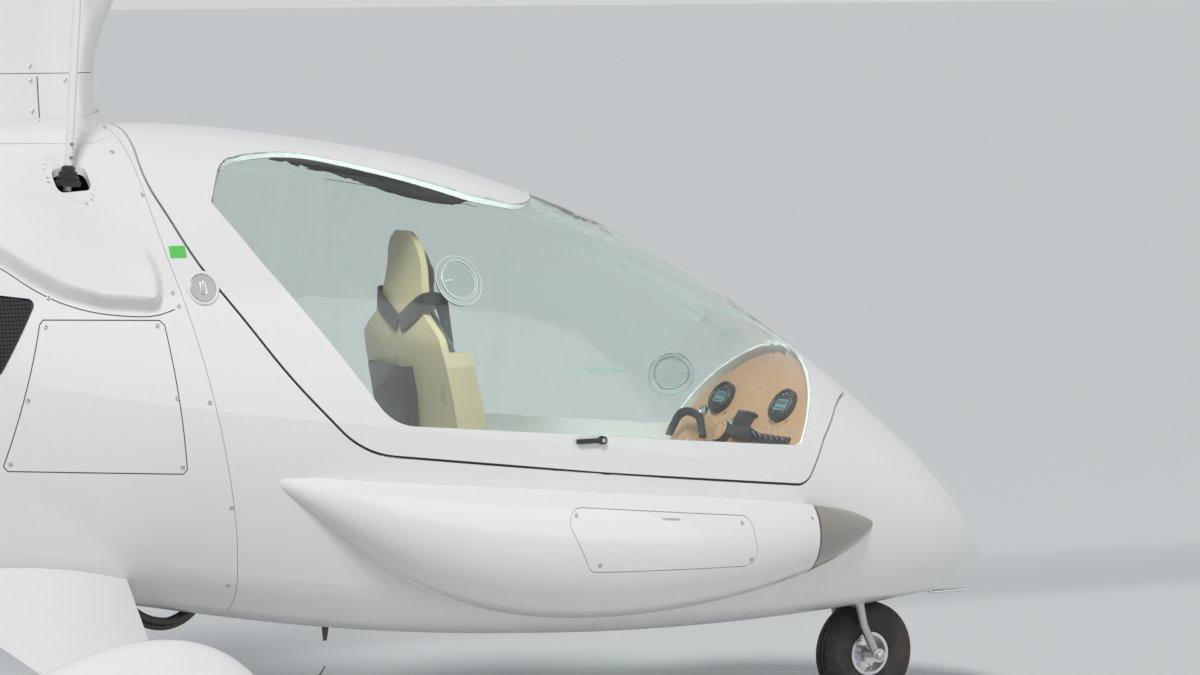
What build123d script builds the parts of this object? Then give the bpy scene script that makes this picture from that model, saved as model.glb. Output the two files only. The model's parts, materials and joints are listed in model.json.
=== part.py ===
"""Two-seat enclosed gyrocopter, in millimetres.

Origin on the ground under the rotor axis, +X to the nose, +Y to the left, +Z up.
The rotor is parked fore and aft.
"""

import os
from math import asin, atan2, cos, pi, radians, sin, tan

from build123d import *

os.makedirs("parts", exist_ok=True)

# Fuselage skin: one body from the nose to the rear of the engine cowl
SKIN = 12.0
GLASS = 4.0
SEAM = 6.0
PANEL_SEAM = 1.5
FIT = 0.5
# columns: x, z_low, z_high, half_width, z_wide, half_flat, r_low, r_high
HULL = [
    (-800.0, 810.0, 1370.0, 235.0, 1090.0, 45.0, 120.0, 150.0),
    (-550.0, 655.0, 1417.0, 296.0, 1035.0, 74.0, 147.0, 187.0),
    (-300.0, 510.0, 1450.0, 345.0, 970.0, 100.0, 170.0, 220.0),
    (0.0, 440.0, 1474.0, 372.0, 912.0, 113.0, 188.0, 232.0),
    (300.0, 388.0, 1485.0, 385.0, 860.0, 120.0, 200.0, 240.0),
    (600.0, 335.0, 1460.0, 388.0, 820.0, 121.0, 202.0, 246.0),
    (900.0, 295.0, 1415.0, 385.0, 780.0, 120.0, 200.0, 250.0),
    (1200.0, 270.0, 1342.0, 380.0, 742.0, 120.0, 197.0, 252.0),
    (1500.0, 255.0, 1232.0, 368.0, 700.0, 120.0, 190.0, 250.0),
    (1775.0, 252.0, 1093.0, 340.0, 646.0, 111.0, 175.0, 231.0),
    (2050.0, 258.0, 915.0, 292.0, 575.0, 95.0, 150.0, 200.0),
    (2230.0, 265.0, 784.0, 243.0, 519.0, 77.0, 122.0, 162.0),
    (2400.0, 274.0, 645.0, 182.0, 460.0, 55.0, 90.0, 120.0),
    (2570.0, 302.0, 470.0, 78.0, 385.0, 18.0, 45.0, 55.0),
    (2635.0, 338.0, 386.0, 20.0, 363.0, 3.0, 12.0, 14.0),
]
HULL_REAR_X = HULL[0][0]
SIDE_REACH = 700.0
ROOF_REACH = 1700.0

# Canopy, window and engine cowl outlines in the side view: (x, z, corner radius)
CANOPY_OUTLINE = [
    (275.0, ROOF_REACH, 5.0),
    (228.0, 1370.0, 180.0),
    (305.0, 1187.0, 500.0),
    (505.0, 925.0, 1200.0),
    (690.0, 745.0, 240.0),
    (1310.0, 668.0, 2000.0),
    (1922.0, 601.0, 45.0),
    (1990.0, 706.0, 120.0),
    (2082.0, 790.0, 150.0),
    (2300.0, 815.0, 5.0),
    (2300.0, ROOF_REACH, 5.0),
]
WINDOW_OUTLINE = [
    (700.0, ROOF_REACH, 5.0),
    (640.0, 1437.0, 60.0),
    (428.0, 1403.0, 60.0),
    (355.0, 1345.0, 50.0),
    (470.0, 1177.0, 700.0),
    (765.0, 804.0, 130.0),
    (1912.0, 693.0, 22.0),
    (2100.0, 998.0, 5.0),
    (2100.0, ROOF_REACH, 5.0),
]
COWL_OUTLINE = [
    (196.0, ROOF_REACH, 5.0),
    (224.0, 1236.0, 900.0),
    (388.0, 580.0, 600.0),
    (470.0, 200.0, 5.0),
    (-1000.0, 200.0, 5.0),
    (-1000.0, ROOF_REACH, 5.0),
]
INTAKE_OUTLINE = [
    (-92.0, 1118.0, 15.0),
    (-190.0, 955.0, 20.0),
    (-430.0, 950.0, 25.0),
    (-430.0, 1165.0, 25.0),
]
GRILLE_DEEP = 5.0
GRILLE_THICK = 3.0
# Plan view of the white roof over the glass: (x, half width, corner radius)
TONGUE = [
    (300.0, 345.0, 5.0),
    (440.0, 168.0, 120.0),
    (640.0, 128.0, 500.0),
    (1086.0, 172.0, 400.0),
    (1312.0, 150.0, 146.0),
]

# Canopy hinge along the left sill
HINGE_REAR = (900.0, 397.3, 728.0)
HINGE_FRONT = (1800.0, 354.1, 625.0)
HINGE_SPOTS = (0.12, 0.88)
HINGE_BARREL_R = 8.0
HINGE_PIN_R = 4.0
HINGE_PIN_PLAY = 0.05
HINGE_KNUCKLE = 24.0
HINGE_GAP = 1.0
HINGE_LEAF = 44.0
HINGE_STAND = 20.0
LATCH_PIVOT = (1316.0, -376.0, 742.0)
LATCH_R = 10.0
LATCH_LONG = 70.0
LATCH_OUT = 14.0

# Side pods: columns x, z_top, z_low, y_edge, y_out, z_out, y_low
POD = [
    (470.0, 706.0, 686.0, 330.0, 372.0, 696.0, 330.0),
    (620.0, 690.0, 575.0, 395.0, 415.0, 650.0, 346.0),
    (850.0, 668.0, 428.0, 425.0, 452.0, 605.0, 306.0),
    (1150.0, 640.0, 334.0, 440.0, 474.0, 560.0, 268.0),
    (1450.0, 610.0, 318.0, 432.0, 468.0, 528.0, 262.0),
    (1750.0, 578.0, 350.0, 395.0, 430.0, 500.0, 256.0),
    (1950.0, 548.0, 396.0, 340.0, 372.0, 484.0, 240.0),
    (2150.0, 505.0, 474.0, 240.0, 262.0, 491.0, 225.0),
]
POD_INNER_Y = 150.0
LENS_X = 1920.0
LENS_WALL = 5.0
# Hatch outline in the side view: (x, z, corner radius)
HATCH_OUTLINE = [
    (1152.0, 604.0, 34.0),
    (1690.0, 548.0, 34.0),
    (1716.0, 430.0, 34.0),
    (1236.0, 447.0, 34.0),
]
HATCH_DEPTH = 6.0
LAMP_R = 26.0
LAMP_LONG = 34.0
LAMP_AT = (330.0, 470.0)

# Cabin
FLOOR_Z = 350.0
FLOOR_THICK = 12.0
FLOOR_FRONT = 2150.0
BULKHEAD_X = 226.0
PEDAL_X = 2030.0
FRONT_SEAT = (1075.0, 455.0, 1218.0)
REAR_SEAT = (440.0, 505.0, 1268.0)
SEAT_PAN_LONG = 400.0
SEAT_BOX_SHORT = 60.0
SEAT_BOX_WIDE = 300.0
SEAT_SHELL = 18.0
SEAT_PAD = 45.0
SEAT_BOLSTER = 88.0
SEAT_PAD_GAP = 2.0
SHOULDER_SHARE = 0.64
SEAT_LEAN = 6.0
SEAT_HALF = 225.0
HEAD_HALF = 82.0

# Instrument panel
PANEL_FOOT = (1925.0, 688.0)
PEDESTAL_AHEAD = 20.0
PEDESTAL_LONG = 60.0
PEDESTAL_WIDE = 160.0
PANEL_TILT = 33.0
PANEL_HALF = 290.0
PANEL_HIGH = 235.0
PANEL_DROP = 70.0
PANEL_THICK = 6.0
PANEL_CLEAR = 22.0
HOOD_WALL = 5.0
HOOD_LONG = 150.0
GAUGE_R = 39.0
GAUGE_OUT = 137.0
GAUGE_UP = 95.0
GAUGE_DEEP = 12.0

# Mast and rotor
MAST_LONG = 70.0
MAST_WIDE = 40.0
MAST_FOOT_Z = 459.0
MAST_TOP_Z = 2480.0
FAIRING_WALL = 5.0
FAIRING_SPLIT_Z = 1602.0
# columns: z, x_front, x_rear, half_thickness
FAIRING = [
    (1380.0, 290.0, -400.0, 120.0),
    (1500.0, 214.0, -345.0, 92.0),
    (1602.0, 198.0, -315.0, 78.0),
    (1763.0, 250.0, -300.0, 72.0),
    (1980.0, 325.0, -290.0, 68.0),
    (2330.0, 300.0, -250.0, 62.0),
]
ROD_R = 9.5
ROD_FOOT = (45.0, 200.0, 1345.0)
ROD_TOP = (150.0, 150.0, 2576.0)
ROD_HOLE_X = 55.0
ROD_HOLE_LONG = 84.0
ROD_HOLE_WIDE = 44.0
HEAD_BLOCK_Z = 2580.0
HEAD_SHAFT_R = 20.0
HEAD_PLAY = 0.05
RING_GEAR_R = 150.0
RING_GEAR_Z = 2630.0
RING_GEAR_THICK = 9.0
TOWER_TOP_Z = 2800.0
TEETER_Z = 2772.0
TEETER_BOLT_R = 8.0
HUB_BAR_Z = 2715.0
HUB_BAR_THICK = 25.0
HUB_BAR_WIDE = 60.0
HUB_BAR_HALF = 480.0
ROTOR_R = 4375.0
BLADE_CHORD = 215.0
BLADE_THICK = 26.0
BLADE_ROOT = 420.0
BLADE_DROOP = 240.0

# Rotor head plates and gaps
RUN_GAP = 6.0
HEAD_PLATE_LONG = 110.0
HEAD_BLOCK_R = 42.0
YOKE_WIDE = 24.0
RING_TEETH = 60
RING_TOOTH = 6.0
TOWER_LONG = 110.0
TOWER_HALF = 40.0
TOWER_PLATE = 12.0
TOWER_FOOT = 22.0
TEETER_BLOCK_WIDE = 60.0
TEETER_BLOCK_LONG = 90.0

# Engine and propeller
ENGINE_Z = 1060.0
ENGINE_WIDE = 400.0
ENGINE_HIGH = 360.0
ENGINE_LONG = 560.0
PROP_SOCKET = 60.0
PROP_Z = 1200.0
PROP_X = -1010.0
PROP_R = 860.0
PROP_HUB_R = 100.0
PROP_HUB_THICK = 70.0
PROP_SHAFT_R = 25.0
PROP_BLADES = 3
SPINNER_LONG = 190.0
SPINNER_FLAT = 6.0
GEARBOX_R = 80.0
GEARBOX_END_X = -930.0
COWL_HOLE_R = 112.0
# columns: radius, chord, thickness, pitch
PROP_STATIONS = [
    (70.0, 60.0, 40.0, 50.0),
    (220.0, 130.0, 26.0, 38.0),
    (520.0, 150.0, 16.0, 22.0),
    (PROP_R, 70.0, 8.0, 13.0),
]

# Tail
# columns: x, z_low, z_high, half_width
BOOM = [
    (240.0, 388.0, 398.3, 60.0),
    (0.0, 350.0, 439.5, 78.0),
    (-300.0, 318.0, 468.0, 70.0),
    (-800.0, 225.0, 320.0, 52.0),
    (-1400.0, 222.0, 308.0, 44.0),
    (-2380.0, 300.0, 370.0, 34.0),
]
TAILPLANE_Z = 345.0
TAILPLANE_HALF = 760.0
TAILPLANE_FRONT = -1780.0
TAILPLANE_CHORD = 460.0
TAILPLANE_THICK = 46.0
END_FIN_LOW = 290.0
END_FIN_HIGH = 1130.0
END_FIN_CHORD = 440.0
END_FIN_TIP_CHORD = 270.0
END_FIN_THICK = 34.0
FIN_FRONT_LOW = -1330.0
FIN_FRONT_HIGH = -1700.0
FIN_HIGH = 1430.0
FIN_THICK = 46.0
FIN_TIP_THICK = 34.0
RUDDER_X = -2055.0
RUDDER_LOW = 420.0
RUDDER_CHORD = 400.0
RUDDER_TIP_CHORD = 300.0
RUDDER_GAP = 8.0
RUDDER_PIN_R = 5.0
RUDDER_EYE_R = 12.0
RUDDER_NOSE_R = 22.0
RUDDER_EYE_THICK = 14.0
RUDDER_PIN_LONG = 26.0
RUDDER_EYES = (620.0, 1080.0)
SKID_X = -2200.0
SKID_WIDE = 24.0
SKID_TOP_Z = 330.0
SKID_LOW_Z = 195.0
TIE_DOWN_R = 8.0

# Main gear
MAIN_X = -60.0
MAIN_Y = 850.0
MAIN_TYRE_R = 190.0
MAIN_TYRE_WIDE = 100.0
MAIN_RIM_R = 100.0
MAIN_AXLE_R = 12.5
AXLE_PLAY = 0.05
AXLE_BLOCK_GAP = 12.0
AXLE_BLOCK_WIDE = 60.0
AXLE_BLOCK_HIGH = 190.0
BEAD_SHARE = 0.36
TREAD_SHARE = 0.3
TREAD_DROP = 6.0
HUB_SHARE = 0.42
HUB_WALL = 14.0
RIM_LIP = 8.0
RIM_WEB_HALF = 6.0
LEG_ROOT = (-85.0, 200.0, 495.0)
LEG_TIP = (-150.0, 800.0, 345.0)
LEG_ROOT_CHORD = 520.0
LEG_TIP_CHORD = 250.0
LEG_ROOT_THICK = 75.0
LEG_TIP_THICK = 48.0
SPAT_WALL = 5.0
SPAT_FLOOR_Z = 118.0
# columns: x, z_low, z_high, half_width
SPAT = [
    (228.0, 195.0, 235.0, 14.0),
    (185.0, 120.0, 318.0, 62.0),
    (90.0, 60.0, 395.0, 90.0),
    (-50.0, 40.0, 428.0, 96.0),
    (-230.0, 70.0, 405.0, 84.0),
    (-400.0, 150.0, 330.0, 48.0),
    (-500.0, 225.0, 262.0, 12.0),
]

# Nose gear
NOSE_X = 2300.0
NOSE_TYRE_R = 130.0
NOSE_TYRE_WIDE = 82.0
NOSE_RIM_R = 54.0
NOSE_AXLE_R = 10.0
TOW_BORE_R = 5.0
STEER_RAKE = 25.0
STEER_LEAD = 10.0
STEM_R = 17.0
STEM_PLAY = 5.0
STEM_LONG = 160.0
FORK_HALF = 58.0
FORK_LEG_R = 11.0
FORK_CROWN_Z = 264.0
KNEE_AT = (2262.0, 205.0)
CROWN_THICK = 12.0
CUP_R = 84.0
CUP_WALL = 4.0
CUP_DEEP = 24.0

# Small fittings
CAP_AT = (309.0, -340.0, 1129.0)
CAP_LEAN = 0.38
CAP_R = 37.0
CAP_PROUD = 5.0
# columns: centre on the glass, outward direction
VENTS = [
    ((975.0, -309.0, 1119.0), (0.08, -0.92, 0.39)),
    ((1898.0, 267.6, 822.7), (0.32, 0.84, 0.45)),
]
VENT_R = 62.0
VENT_RING = 8.0
VENT_DISC_R = 46.0
VENT_PROUD = 6.0
VENT_DEEP = 20.0
PITOT_X = 2480.0
PITOT_Z = 268.0
PITOT_LONG = 135.0
PITOT_GAP = 9.0
PITOT_R = 4.0
PITOT_HIGH = 60.0
PITOT_LEAN = 12.0
PITOT_BEND_R = 10.0
AERIAL_X = 790.0
AERIAL_Z = 266.0
AERIAL_THICK = 4.0
AERIAL_HIGH = 70.0
# columns: y, sag below the ends
HOSES = [(-118.0, 62.0), (-98.0, 78.0), (-78.0, 70.0)]
HOSE_R = 8.0
HOSE_END_Z = 420.0
HOSE_REAR_X = 215.0
HOSE_MID_X = 320.0
HOSE_FRONT_X = 430.0


def oval_arcs(half_wide, half_high, tight_r):
    """Quarter oval from (0, half_high) to (half_wide, 0): two tangent arcs, tight_r at the long axis."""
    if half_high < half_wide:
        return [(v, u) for u, v in reversed(oval_arcs(half_high, half_wide, tight_r))]
    span = half_wide**2 + half_high**2 - 2 * half_high * tight_r
    side_r = span / (2 * (half_wide - tight_r))
    turn = atan2(half_high - tight_r, side_r - half_wide)
    tight = lambda angle: (tight_r * cos(angle), half_high - tight_r + tight_r * sin(angle))
    side = lambda angle: (half_wide - side_r + side_r * cos(angle), side_r * sin(angle))
    return [(0, half_high), tight((pi / 2 + turn) / 2), tight(turn), side(turn / 2), (half_wide, 0)]


def oval_section(x, z_low, z_high, half_width, z_wide, half_flat, r_low, r_high, inset=0.0, y_mid=0.0):
    """Closed cross section at x, made of one flat, and arcs that meet tangent."""
    wide = half_width - inset
    high = oval_arcs(wide, z_high - z_wide - inset, r_high - inset)
    low = oval_arcs(wide - half_flat, z_wide - z_low - inset, r_low - inset)
    left_high = [(y_mid + u, z_wide + v) for u, v in high]
    left_low = [(y_mid + half_flat + u, z_wide - v) for u, v in low]
    right_high = [(2 * y_mid - y, z) for y, z in left_high]
    right_low = [(2 * y_mid - y, z) for y, z in left_low]
    with BuildSketch(Plane.YZ.offset(x)) as section:
        with BuildLine():
            Line(right_low[0], left_low[0])
            ThreePointArc(*left_low[0:3])
            ThreePointArc(*left_low[2:5])
            ThreePointArc(*reversed(left_high[2:5]))
            ThreePointArc(left_high[2], left_high[0], right_high[2])
            ThreePointArc(*right_high[2:5])
            ThreePointArc(*reversed(right_low[2:5]))
            ThreePointArc(*reversed(right_low[0:3]))
        make_face()
    return section.sketch


def lens_section(plane, chord, thick):
    """Thin wing section of two arcs, centred on the plane's origin with its chord along local x."""
    half = chord / 2
    with BuildSketch(plane) as section:
        with BuildLine():
            ThreePointArc((-half, 0), (0, thick / 2), (half, 0))
            ThreePointArc((half, 0), (0, -thick / 2), (-half, 0))
        make_face()
    return section.sketch


def side_profile(outline):
    """Closed outline in the side view with rounded corners."""
    with BuildSketch(Plane.XZ) as profile:
        with BuildLine():
            FilletPolyline(
                *[(x, z) for x, z, _ in outline],
                radius=[r for _, _, r in outline],
                close=True,
            )
        make_face()
    return profile.sketch


def side_prism(sketch):
    """The side view outline taken through the whole width."""
    with BuildPart() as prism:
        extrude(sketch, amount=SIDE_REACH, both=True)
    return prism.part


def tube(points, corner_r, tube_r):
    """Round tube along straight runs joined by arcs."""
    with BuildPart() as pipe:
        with BuildLine() as route:
            if len(points) > 2:
                FilletPolyline(*points, radius=corner_r)
            else:
                Line(*points)
        with BuildSketch(Plane(origin=route.line @ 0, z_dir=route.line % 0)):
            Circle(tube_r)
        sweep(path=route.line)
    return pipe.part


# Hull solids that the panels are cut from
with BuildPart() as hull_outer:
    loft([oval_section(*row) for row in HULL])

with BuildPart() as hull_inner:
    loft([oval_section(*row, inset=SKIN) for row in HULL[:-1]])
    split(bisect_by=Plane.YZ.offset(HULL_REAR_X + SKIN), keep=Keep.TOP)

with BuildPart() as glass_inner:
    loft([oval_section(*row, inset=GLASS) for row in HULL[1:-1]])

with BuildPart() as hull_skin:
    add(hull_outer.part)
    add(hull_inner.part, mode=Mode.SUBTRACT)

canopy_sketch = side_profile(CANOPY_OUTLINE)
window_sketch = side_profile(WINDOW_OUTLINE)
cowl_sketch = side_profile(COWL_OUTLINE)
canopy_zone = side_prism(canopy_sketch)
canopy_opening = side_prism(offset(canopy_sketch, SEAM, kind=Kind.INTERSECTION))
cowl_zone = side_prism(cowl_sketch)
cowl_gap = side_prism(offset(cowl_sketch, PANEL_SEAM, kind=Kind.INTERSECTION))

with BuildPart() as roof_tongue:
    with BuildSketch(Plane.XY.offset(SIDE_REACH)):
        with BuildLine():
            edge = FilletPolyline(
                (TONGUE[0][0], 0),
                *[(x, y) for x, y, _ in TONGUE],
                (TONGUE[-1][0], 0),
                radius=[r for _, _, r in TONGUE],
            )
            mirror(edge, about=Plane.XZ)
        make_face()
    extrude(amount=ROOF_REACH)

with BuildPart() as window_zone:
    add(side_prism(window_sketch))
    add(roof_tongue.part, mode=Mode.SUBTRACT)


def write(builder, label):
    """Label a finished piece and write it as a STEP file."""
    builder.part.label = label
    export_step(builder.part, f"parts/{label}.step")


# Canopy: frame, glass, vents, latch and hinge leaves swing together
hinge_run = Vector(*HINGE_FRONT) - Vector(*HINGE_REAR)
hinge_dir = hinge_run.normalized()
hinge_out = Vector(0, 1, 0) - hinge_dir * hinge_dir.Y
hinge_spots = [Vector(*HINGE_REAR) + hinge_run * share for share in HINGE_SPOTS]

with BuildPart() as canopy_frame:
    add(hull_skin.part)
    add(canopy_zone, mode=Mode.INTERSECT)
    add(window_zone.part, mode=Mode.SUBTRACT)
write(canopy_frame, "canopy_frame")

with BuildPart() as canopy_glass:
    add(hull_outer.part)
    add(window_zone.part, mode=Mode.INTERSECT)
    add(glass_inner.part, mode=Mode.SUBTRACT)
write(canopy_glass, "canopy_glass")


def knuckle(spot, start, long, leaf_up):
    """One hinge barrel piece on the hinge line with its leaf down or up against the skin."""
    with BuildPart() as piece:
        with BuildSketch(Plane(origin=spot + hinge_dir * start, x_dir=hinge_out, z_dir=hinge_dir)):
            Circle(HINGE_BARREL_R)
            with Locations((-HINGE_BARREL_R / 2, leaf_up * HINGE_LEAF / 2)):
                Rectangle(HINGE_BARREL_R, HINGE_LEAF)
            with Locations((-HINGE_BARREL_R, leaf_up * (HINGE_LEAF + HINGE_STAND) / 2)):
                Rectangle(2 * HINGE_BARREL_R, HINGE_LEAF - HINGE_STAND)
        extrude(amount=long)
    return piece.part


with BuildPart() as canopy_hinges:
    for spot in hinge_spots:
        add(knuckle(spot, -HINGE_KNUCKLE / 2, HINGE_KNUCKLE, 1))
        with BuildSketch(Plane(origin=spot - hinge_dir * HINGE_KNUCKLE, x_dir=hinge_out, z_dir=hinge_dir)):
            Circle(HINGE_PIN_R + HINGE_PIN_PLAY)
        extrude(amount=2 * HINGE_KNUCKLE, mode=Mode.SUBTRACT)
    add(hull_outer.part, mode=Mode.SUBTRACT)
write(canopy_hinges, "canopy_hinges")

with BuildPart() as hinge_brackets:
    for spot in hinge_spots:
        add(knuckle(spot, HINGE_KNUCKLE / 2 + HINGE_GAP, HINGE_KNUCKLE, -1))
        add(knuckle(spot, -1.5 * HINGE_KNUCKLE - HINGE_GAP, HINGE_KNUCKLE, -1))
        with BuildSketch(Plane(origin=spot - hinge_dir * HINGE_KNUCKLE, x_dir=hinge_out, z_dir=hinge_dir)):
            Circle(HINGE_PIN_R)
        extrude(amount=2 * HINGE_KNUCKLE)
    add(hull_outer.part, mode=Mode.SUBTRACT)
write(hinge_brackets, "hinge_brackets")

# Latch lever on the right of the canopy frame, and the two round vents in the glass
with BuildPart() as canopy_latch:
    with BuildSketch(Plane(origin=LATCH_PIVOT, x_dir=(1, 0, 0), z_dir=(0, -1, 0))):
        Circle(LATCH_R)
    extrude(amount=LATCH_OUT, both=True)
    with BuildSketch(Plane(origin=LATCH_PIVOT, x_dir=(1, 0, 0), z_dir=(0, -1, 0)).offset(LATCH_OUT / 2)):
        with Locations((-LATCH_LONG / 2, 0)):
            RectangleRounded(LATCH_LONG, LATCH_R * 1.1, LATCH_R / 2)
    extrude(amount=LATCH_OUT / 2)
    add(hull_outer.part, mode=Mode.SUBTRACT)
write(canopy_latch, "canopy_latch")

# Fuselage shell ahead of the cowl seam, open under the canopy
stem_dir = Vector(-sin(radians(STEER_RAKE)), 0, cos(radians(STEER_RAKE)))
nose_axle = Vector(NOSE_X, 0, NOSE_TYRE_R)
steer_foot = nose_axle + STEER_LEAD * Vector(cos(radians(STEER_RAKE)), 0, sin(radians(STEER_RAKE)))
crown_at = (FORK_CROWN_Z - steer_foot.Z) / stem_dir.Z

with BuildPart() as fork_cup:
    with BuildSketch(Plane(origin=steer_foot, z_dir=stem_dir)):
        Circle(CUP_R)
    extrude(amount=crown_at + CUP_DEEP + CUP_WALL)
    add(hull_outer.part, mode=Mode.INTERSECT)

with BuildPart() as fuselage_shell:
    add(hull_skin.part)
    add(cowl_gap, mode=Mode.SUBTRACT)
    add(canopy_opening, mode=Mode.SUBTRACT)
    add(fork_cup.part)
    with BuildSketch(Plane(origin=steer_foot, z_dir=stem_dir)):
        Circle(CUP_R - CUP_WALL)
    extrude(amount=crown_at + CUP_DEEP, mode=Mode.SUBTRACT)
    with BuildSketch(Plane(origin=steer_foot, z_dir=stem_dir)):
        Circle(STEM_R + STEM_PLAY)
    extrude(amount=crown_at + STEM_LONG, mode=Mode.SUBTRACT)
write(fuselage_shell, "fuselage_shell")

# Engine cowl with its air intakes, rod holes, mast hole and rear ring
with BuildPart() as engine_cowl:
    add(hull_skin.part)
    add(cowl_zone, mode=Mode.INTERSECT)
    with BuildSketch(Plane.XY.offset(MAST_FOOT_Z + 100)):
        Rectangle(MAST_LONG, MAST_WIDE)
    extrude(amount=ROOF_REACH, mode=Mode.SUBTRACT)
    with BuildSketch(Plane.XY.offset(PROP_Z)):
        with Locations((ROD_HOLE_X, ROD_FOOT[1]), (ROD_HOLE_X, -ROD_FOOT[1])):
            RectangleRounded(ROD_HOLE_LONG, ROD_HOLE_WIDE, ROD_HOLE_WIDE / 3)
    extrude(amount=SIDE_REACH, mode=Mode.SUBTRACT)
    with BuildSketch(Plane.YZ.offset(HULL_REAR_X - SKIN)):
        with Locations((0, PROP_Z)):
            Circle(COWL_HOLE_R)
    extrude(amount=3 * SKIN, mode=Mode.SUBTRACT)
    add(side_prism(side_profile(INTAKE_OUTLINE)), mode=Mode.SUBTRACT)
write(engine_cowl, "engine_cowl")

with BuildPart() as intake_skin:
    loft([oval_section(*row, inset=GRILLE_DEEP) for row in HULL[0:5]])
    loft([oval_section(*row, inset=GRILLE_DEEP + GRILLE_THICK) for row in HULL[0:5]], mode=Mode.SUBTRACT)
with BuildPart() as cowl_grilles:
    add(intake_skin.part)
    add(side_prism(side_profile(INTAKE_OUTLINE)), mode=Mode.INTERSECT)
write(cowl_grilles, "cowl_grilles")

# Side pods with their hatches, lenses and lamps
def pod_section(row, side):
    x, z_top, z_low, y_edge, y_out, z_out, y_low = row
    with BuildSketch(Plane.YZ.offset(x)) as section:
        with BuildLine():
            Line((side * POD_INNER_Y, z_low), (side * POD_INNER_Y, z_top))
            Line((side * POD_INNER_Y, z_top), (side * y_edge, z_top))
            ThreePointArc((side * y_edge, z_top), (side * y_out, z_out), (side * y_low, z_low))
            Line((side * y_low, z_low), (side * POD_INNER_Y, z_low))
        make_face()
    return section.sketch


def pod_blank(side):
    with BuildPart() as blank:
        loft([pod_section(row, side) for row in POD])
    return blank.part


pods = {side: pod_blank(side) for side in (1, -1)}
hatch_sketch = side_profile(HATCH_OUTLINE)


def hatch_zone(side, grow):
    with BuildPart() as zone:
        extrude(offset(hatch_sketch, grow) if grow else hatch_sketch, amount=-side * SIDE_REACH)
        add(Pos(0, -side * HATCH_DEPTH, 0) * pods[side], mode=Mode.SUBTRACT)
    return zone.part


with BuildPart() as side_pods:
    for side in (1, -1):
        add(pods[side])
    with BuildSketch(Plane.YZ.offset(LENS_X)):
        with Locations((0, LENS_X / 4)):
            Rectangle(2 * SIDE_REACH, LENS_X)
    extrude(amount=SIDE_REACH, mode=Mode.SUBTRACT)
    add(hull_outer.part, mode=Mode.SUBTRACT)
    for side in (1, -1):
        add(hatch_zone(side, PANEL_SEAM), mode=Mode.SUBTRACT)
write(side_pods, "side_pods")

with BuildPart() as pod_hatches:
    for side in (1, -1):
        add(pods[side] & hatch_zone(side, 0.0))
write(pod_hatches, "pod_hatches")

with BuildPart() as headlight_lenses:
    for side in (1, -1):
        add(pods[side] - Pos(-LENS_WALL, -side * LENS_WALL, 0) * pods[side])
    with BuildSketch(Plane.YZ.offset(LENS_X)):
        with Locations((0, LENS_X / 4)):
            Rectangle(2 * SIDE_REACH, LENS_X)
    extrude(amount=SIDE_REACH, mode=Mode.INTERSECT)
    add(hull_outer.part, mode=Mode.SUBTRACT)
write(headlight_lenses, "headlight_lenses")

with BuildPart() as headlamps:
    with BuildSketch(Plane.YZ.offset(LENS_X)):
        with Locations((LAMP_AT[0], LAMP_AT[1]), (-LAMP_AT[0], LAMP_AT[1])):
            Circle(LAMP_R)
    extrude(amount=LAMP_LONG)
    add(hull_outer.part, mode=Mode.SUBTRACT)
write(headlamps, "headlamps")

# Cabin floor with the seat boxes and the panel pedestal, and the bulkhead behind the rear seat
with BuildPart() as cabin_room:
    loft([oval_section(*row, inset=SKIN + FIT) for row in HULL[:-1]])

with BuildPart() as cabin_floor:
    with BuildSketch(Plane.XY.offset(FLOOR_Z)):
        with Locations(((BULKHEAD_X + FLOOR_FRONT) / 2, 0)):
            Rectangle(FLOOR_FRONT - BULKHEAD_X, SIDE_REACH)
    extrude(amount=FLOOR_THICK)
    for seat_x, pan_z, _ in (FRONT_SEAT, REAR_SEAT):
        with BuildSketch(Plane.XY.offset(FLOOR_Z)):
            with Locations((seat_x + SEAT_PAN_LONG / 2, 0)):
                Rectangle(SEAT_PAN_LONG - SEAT_BOX_SHORT, SEAT_BOX_WIDE)
        extrude(amount=pan_z - FLOOR_Z)
    with BuildSketch(Plane.XY.offset(FLOOR_Z)):
        with Locations((PANEL_FOOT[0] + PEDESTAL_AHEAD, 0)):
            Rectangle(PEDESTAL_LONG, PEDESTAL_WIDE)
    extrude(amount=PANEL_FOOT[1] - PANEL_DROP - FLOOR_Z - 10)
    add(cabin_room.part, mode=Mode.INTERSECT)
write(cabin_floor, "cabin_floor")

with BuildPart() as rear_bulkhead:
    with BuildSketch(Plane.YZ.offset(BULKHEAD_X)):
        Rectangle(2 * SIDE_REACH, 2 * ROOF_REACH)
    extrude(amount=-SKIN)
    add(cabin_room.part, mode=Mode.INTERSECT)
write(rear_bulkhead, "rear_bulkhead")


def seat_side(seat_x, pan_z, top_z, near, far):
    """Side view band of the seat between two distances from its back and pan line."""
    lean = tan(radians(SEAT_LEAN))
    high = top_z - pan_z
    with BuildSketch(Plane.XZ) as band:
        with BuildLine():
            Polyline(
                (seat_x + near, pan_z + near),
                (seat_x + near - lean * high, top_z),
                (seat_x + far - lean * high, top_z),
                (seat_x + far, pan_z + far),
                (seat_x + SEAT_PAN_LONG, pan_z + far + 25),
                (seat_x + SEAT_PAN_LONG, pan_z + near + 25),
                close=True,
            )
        make_face()
    return band.sketch


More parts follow.
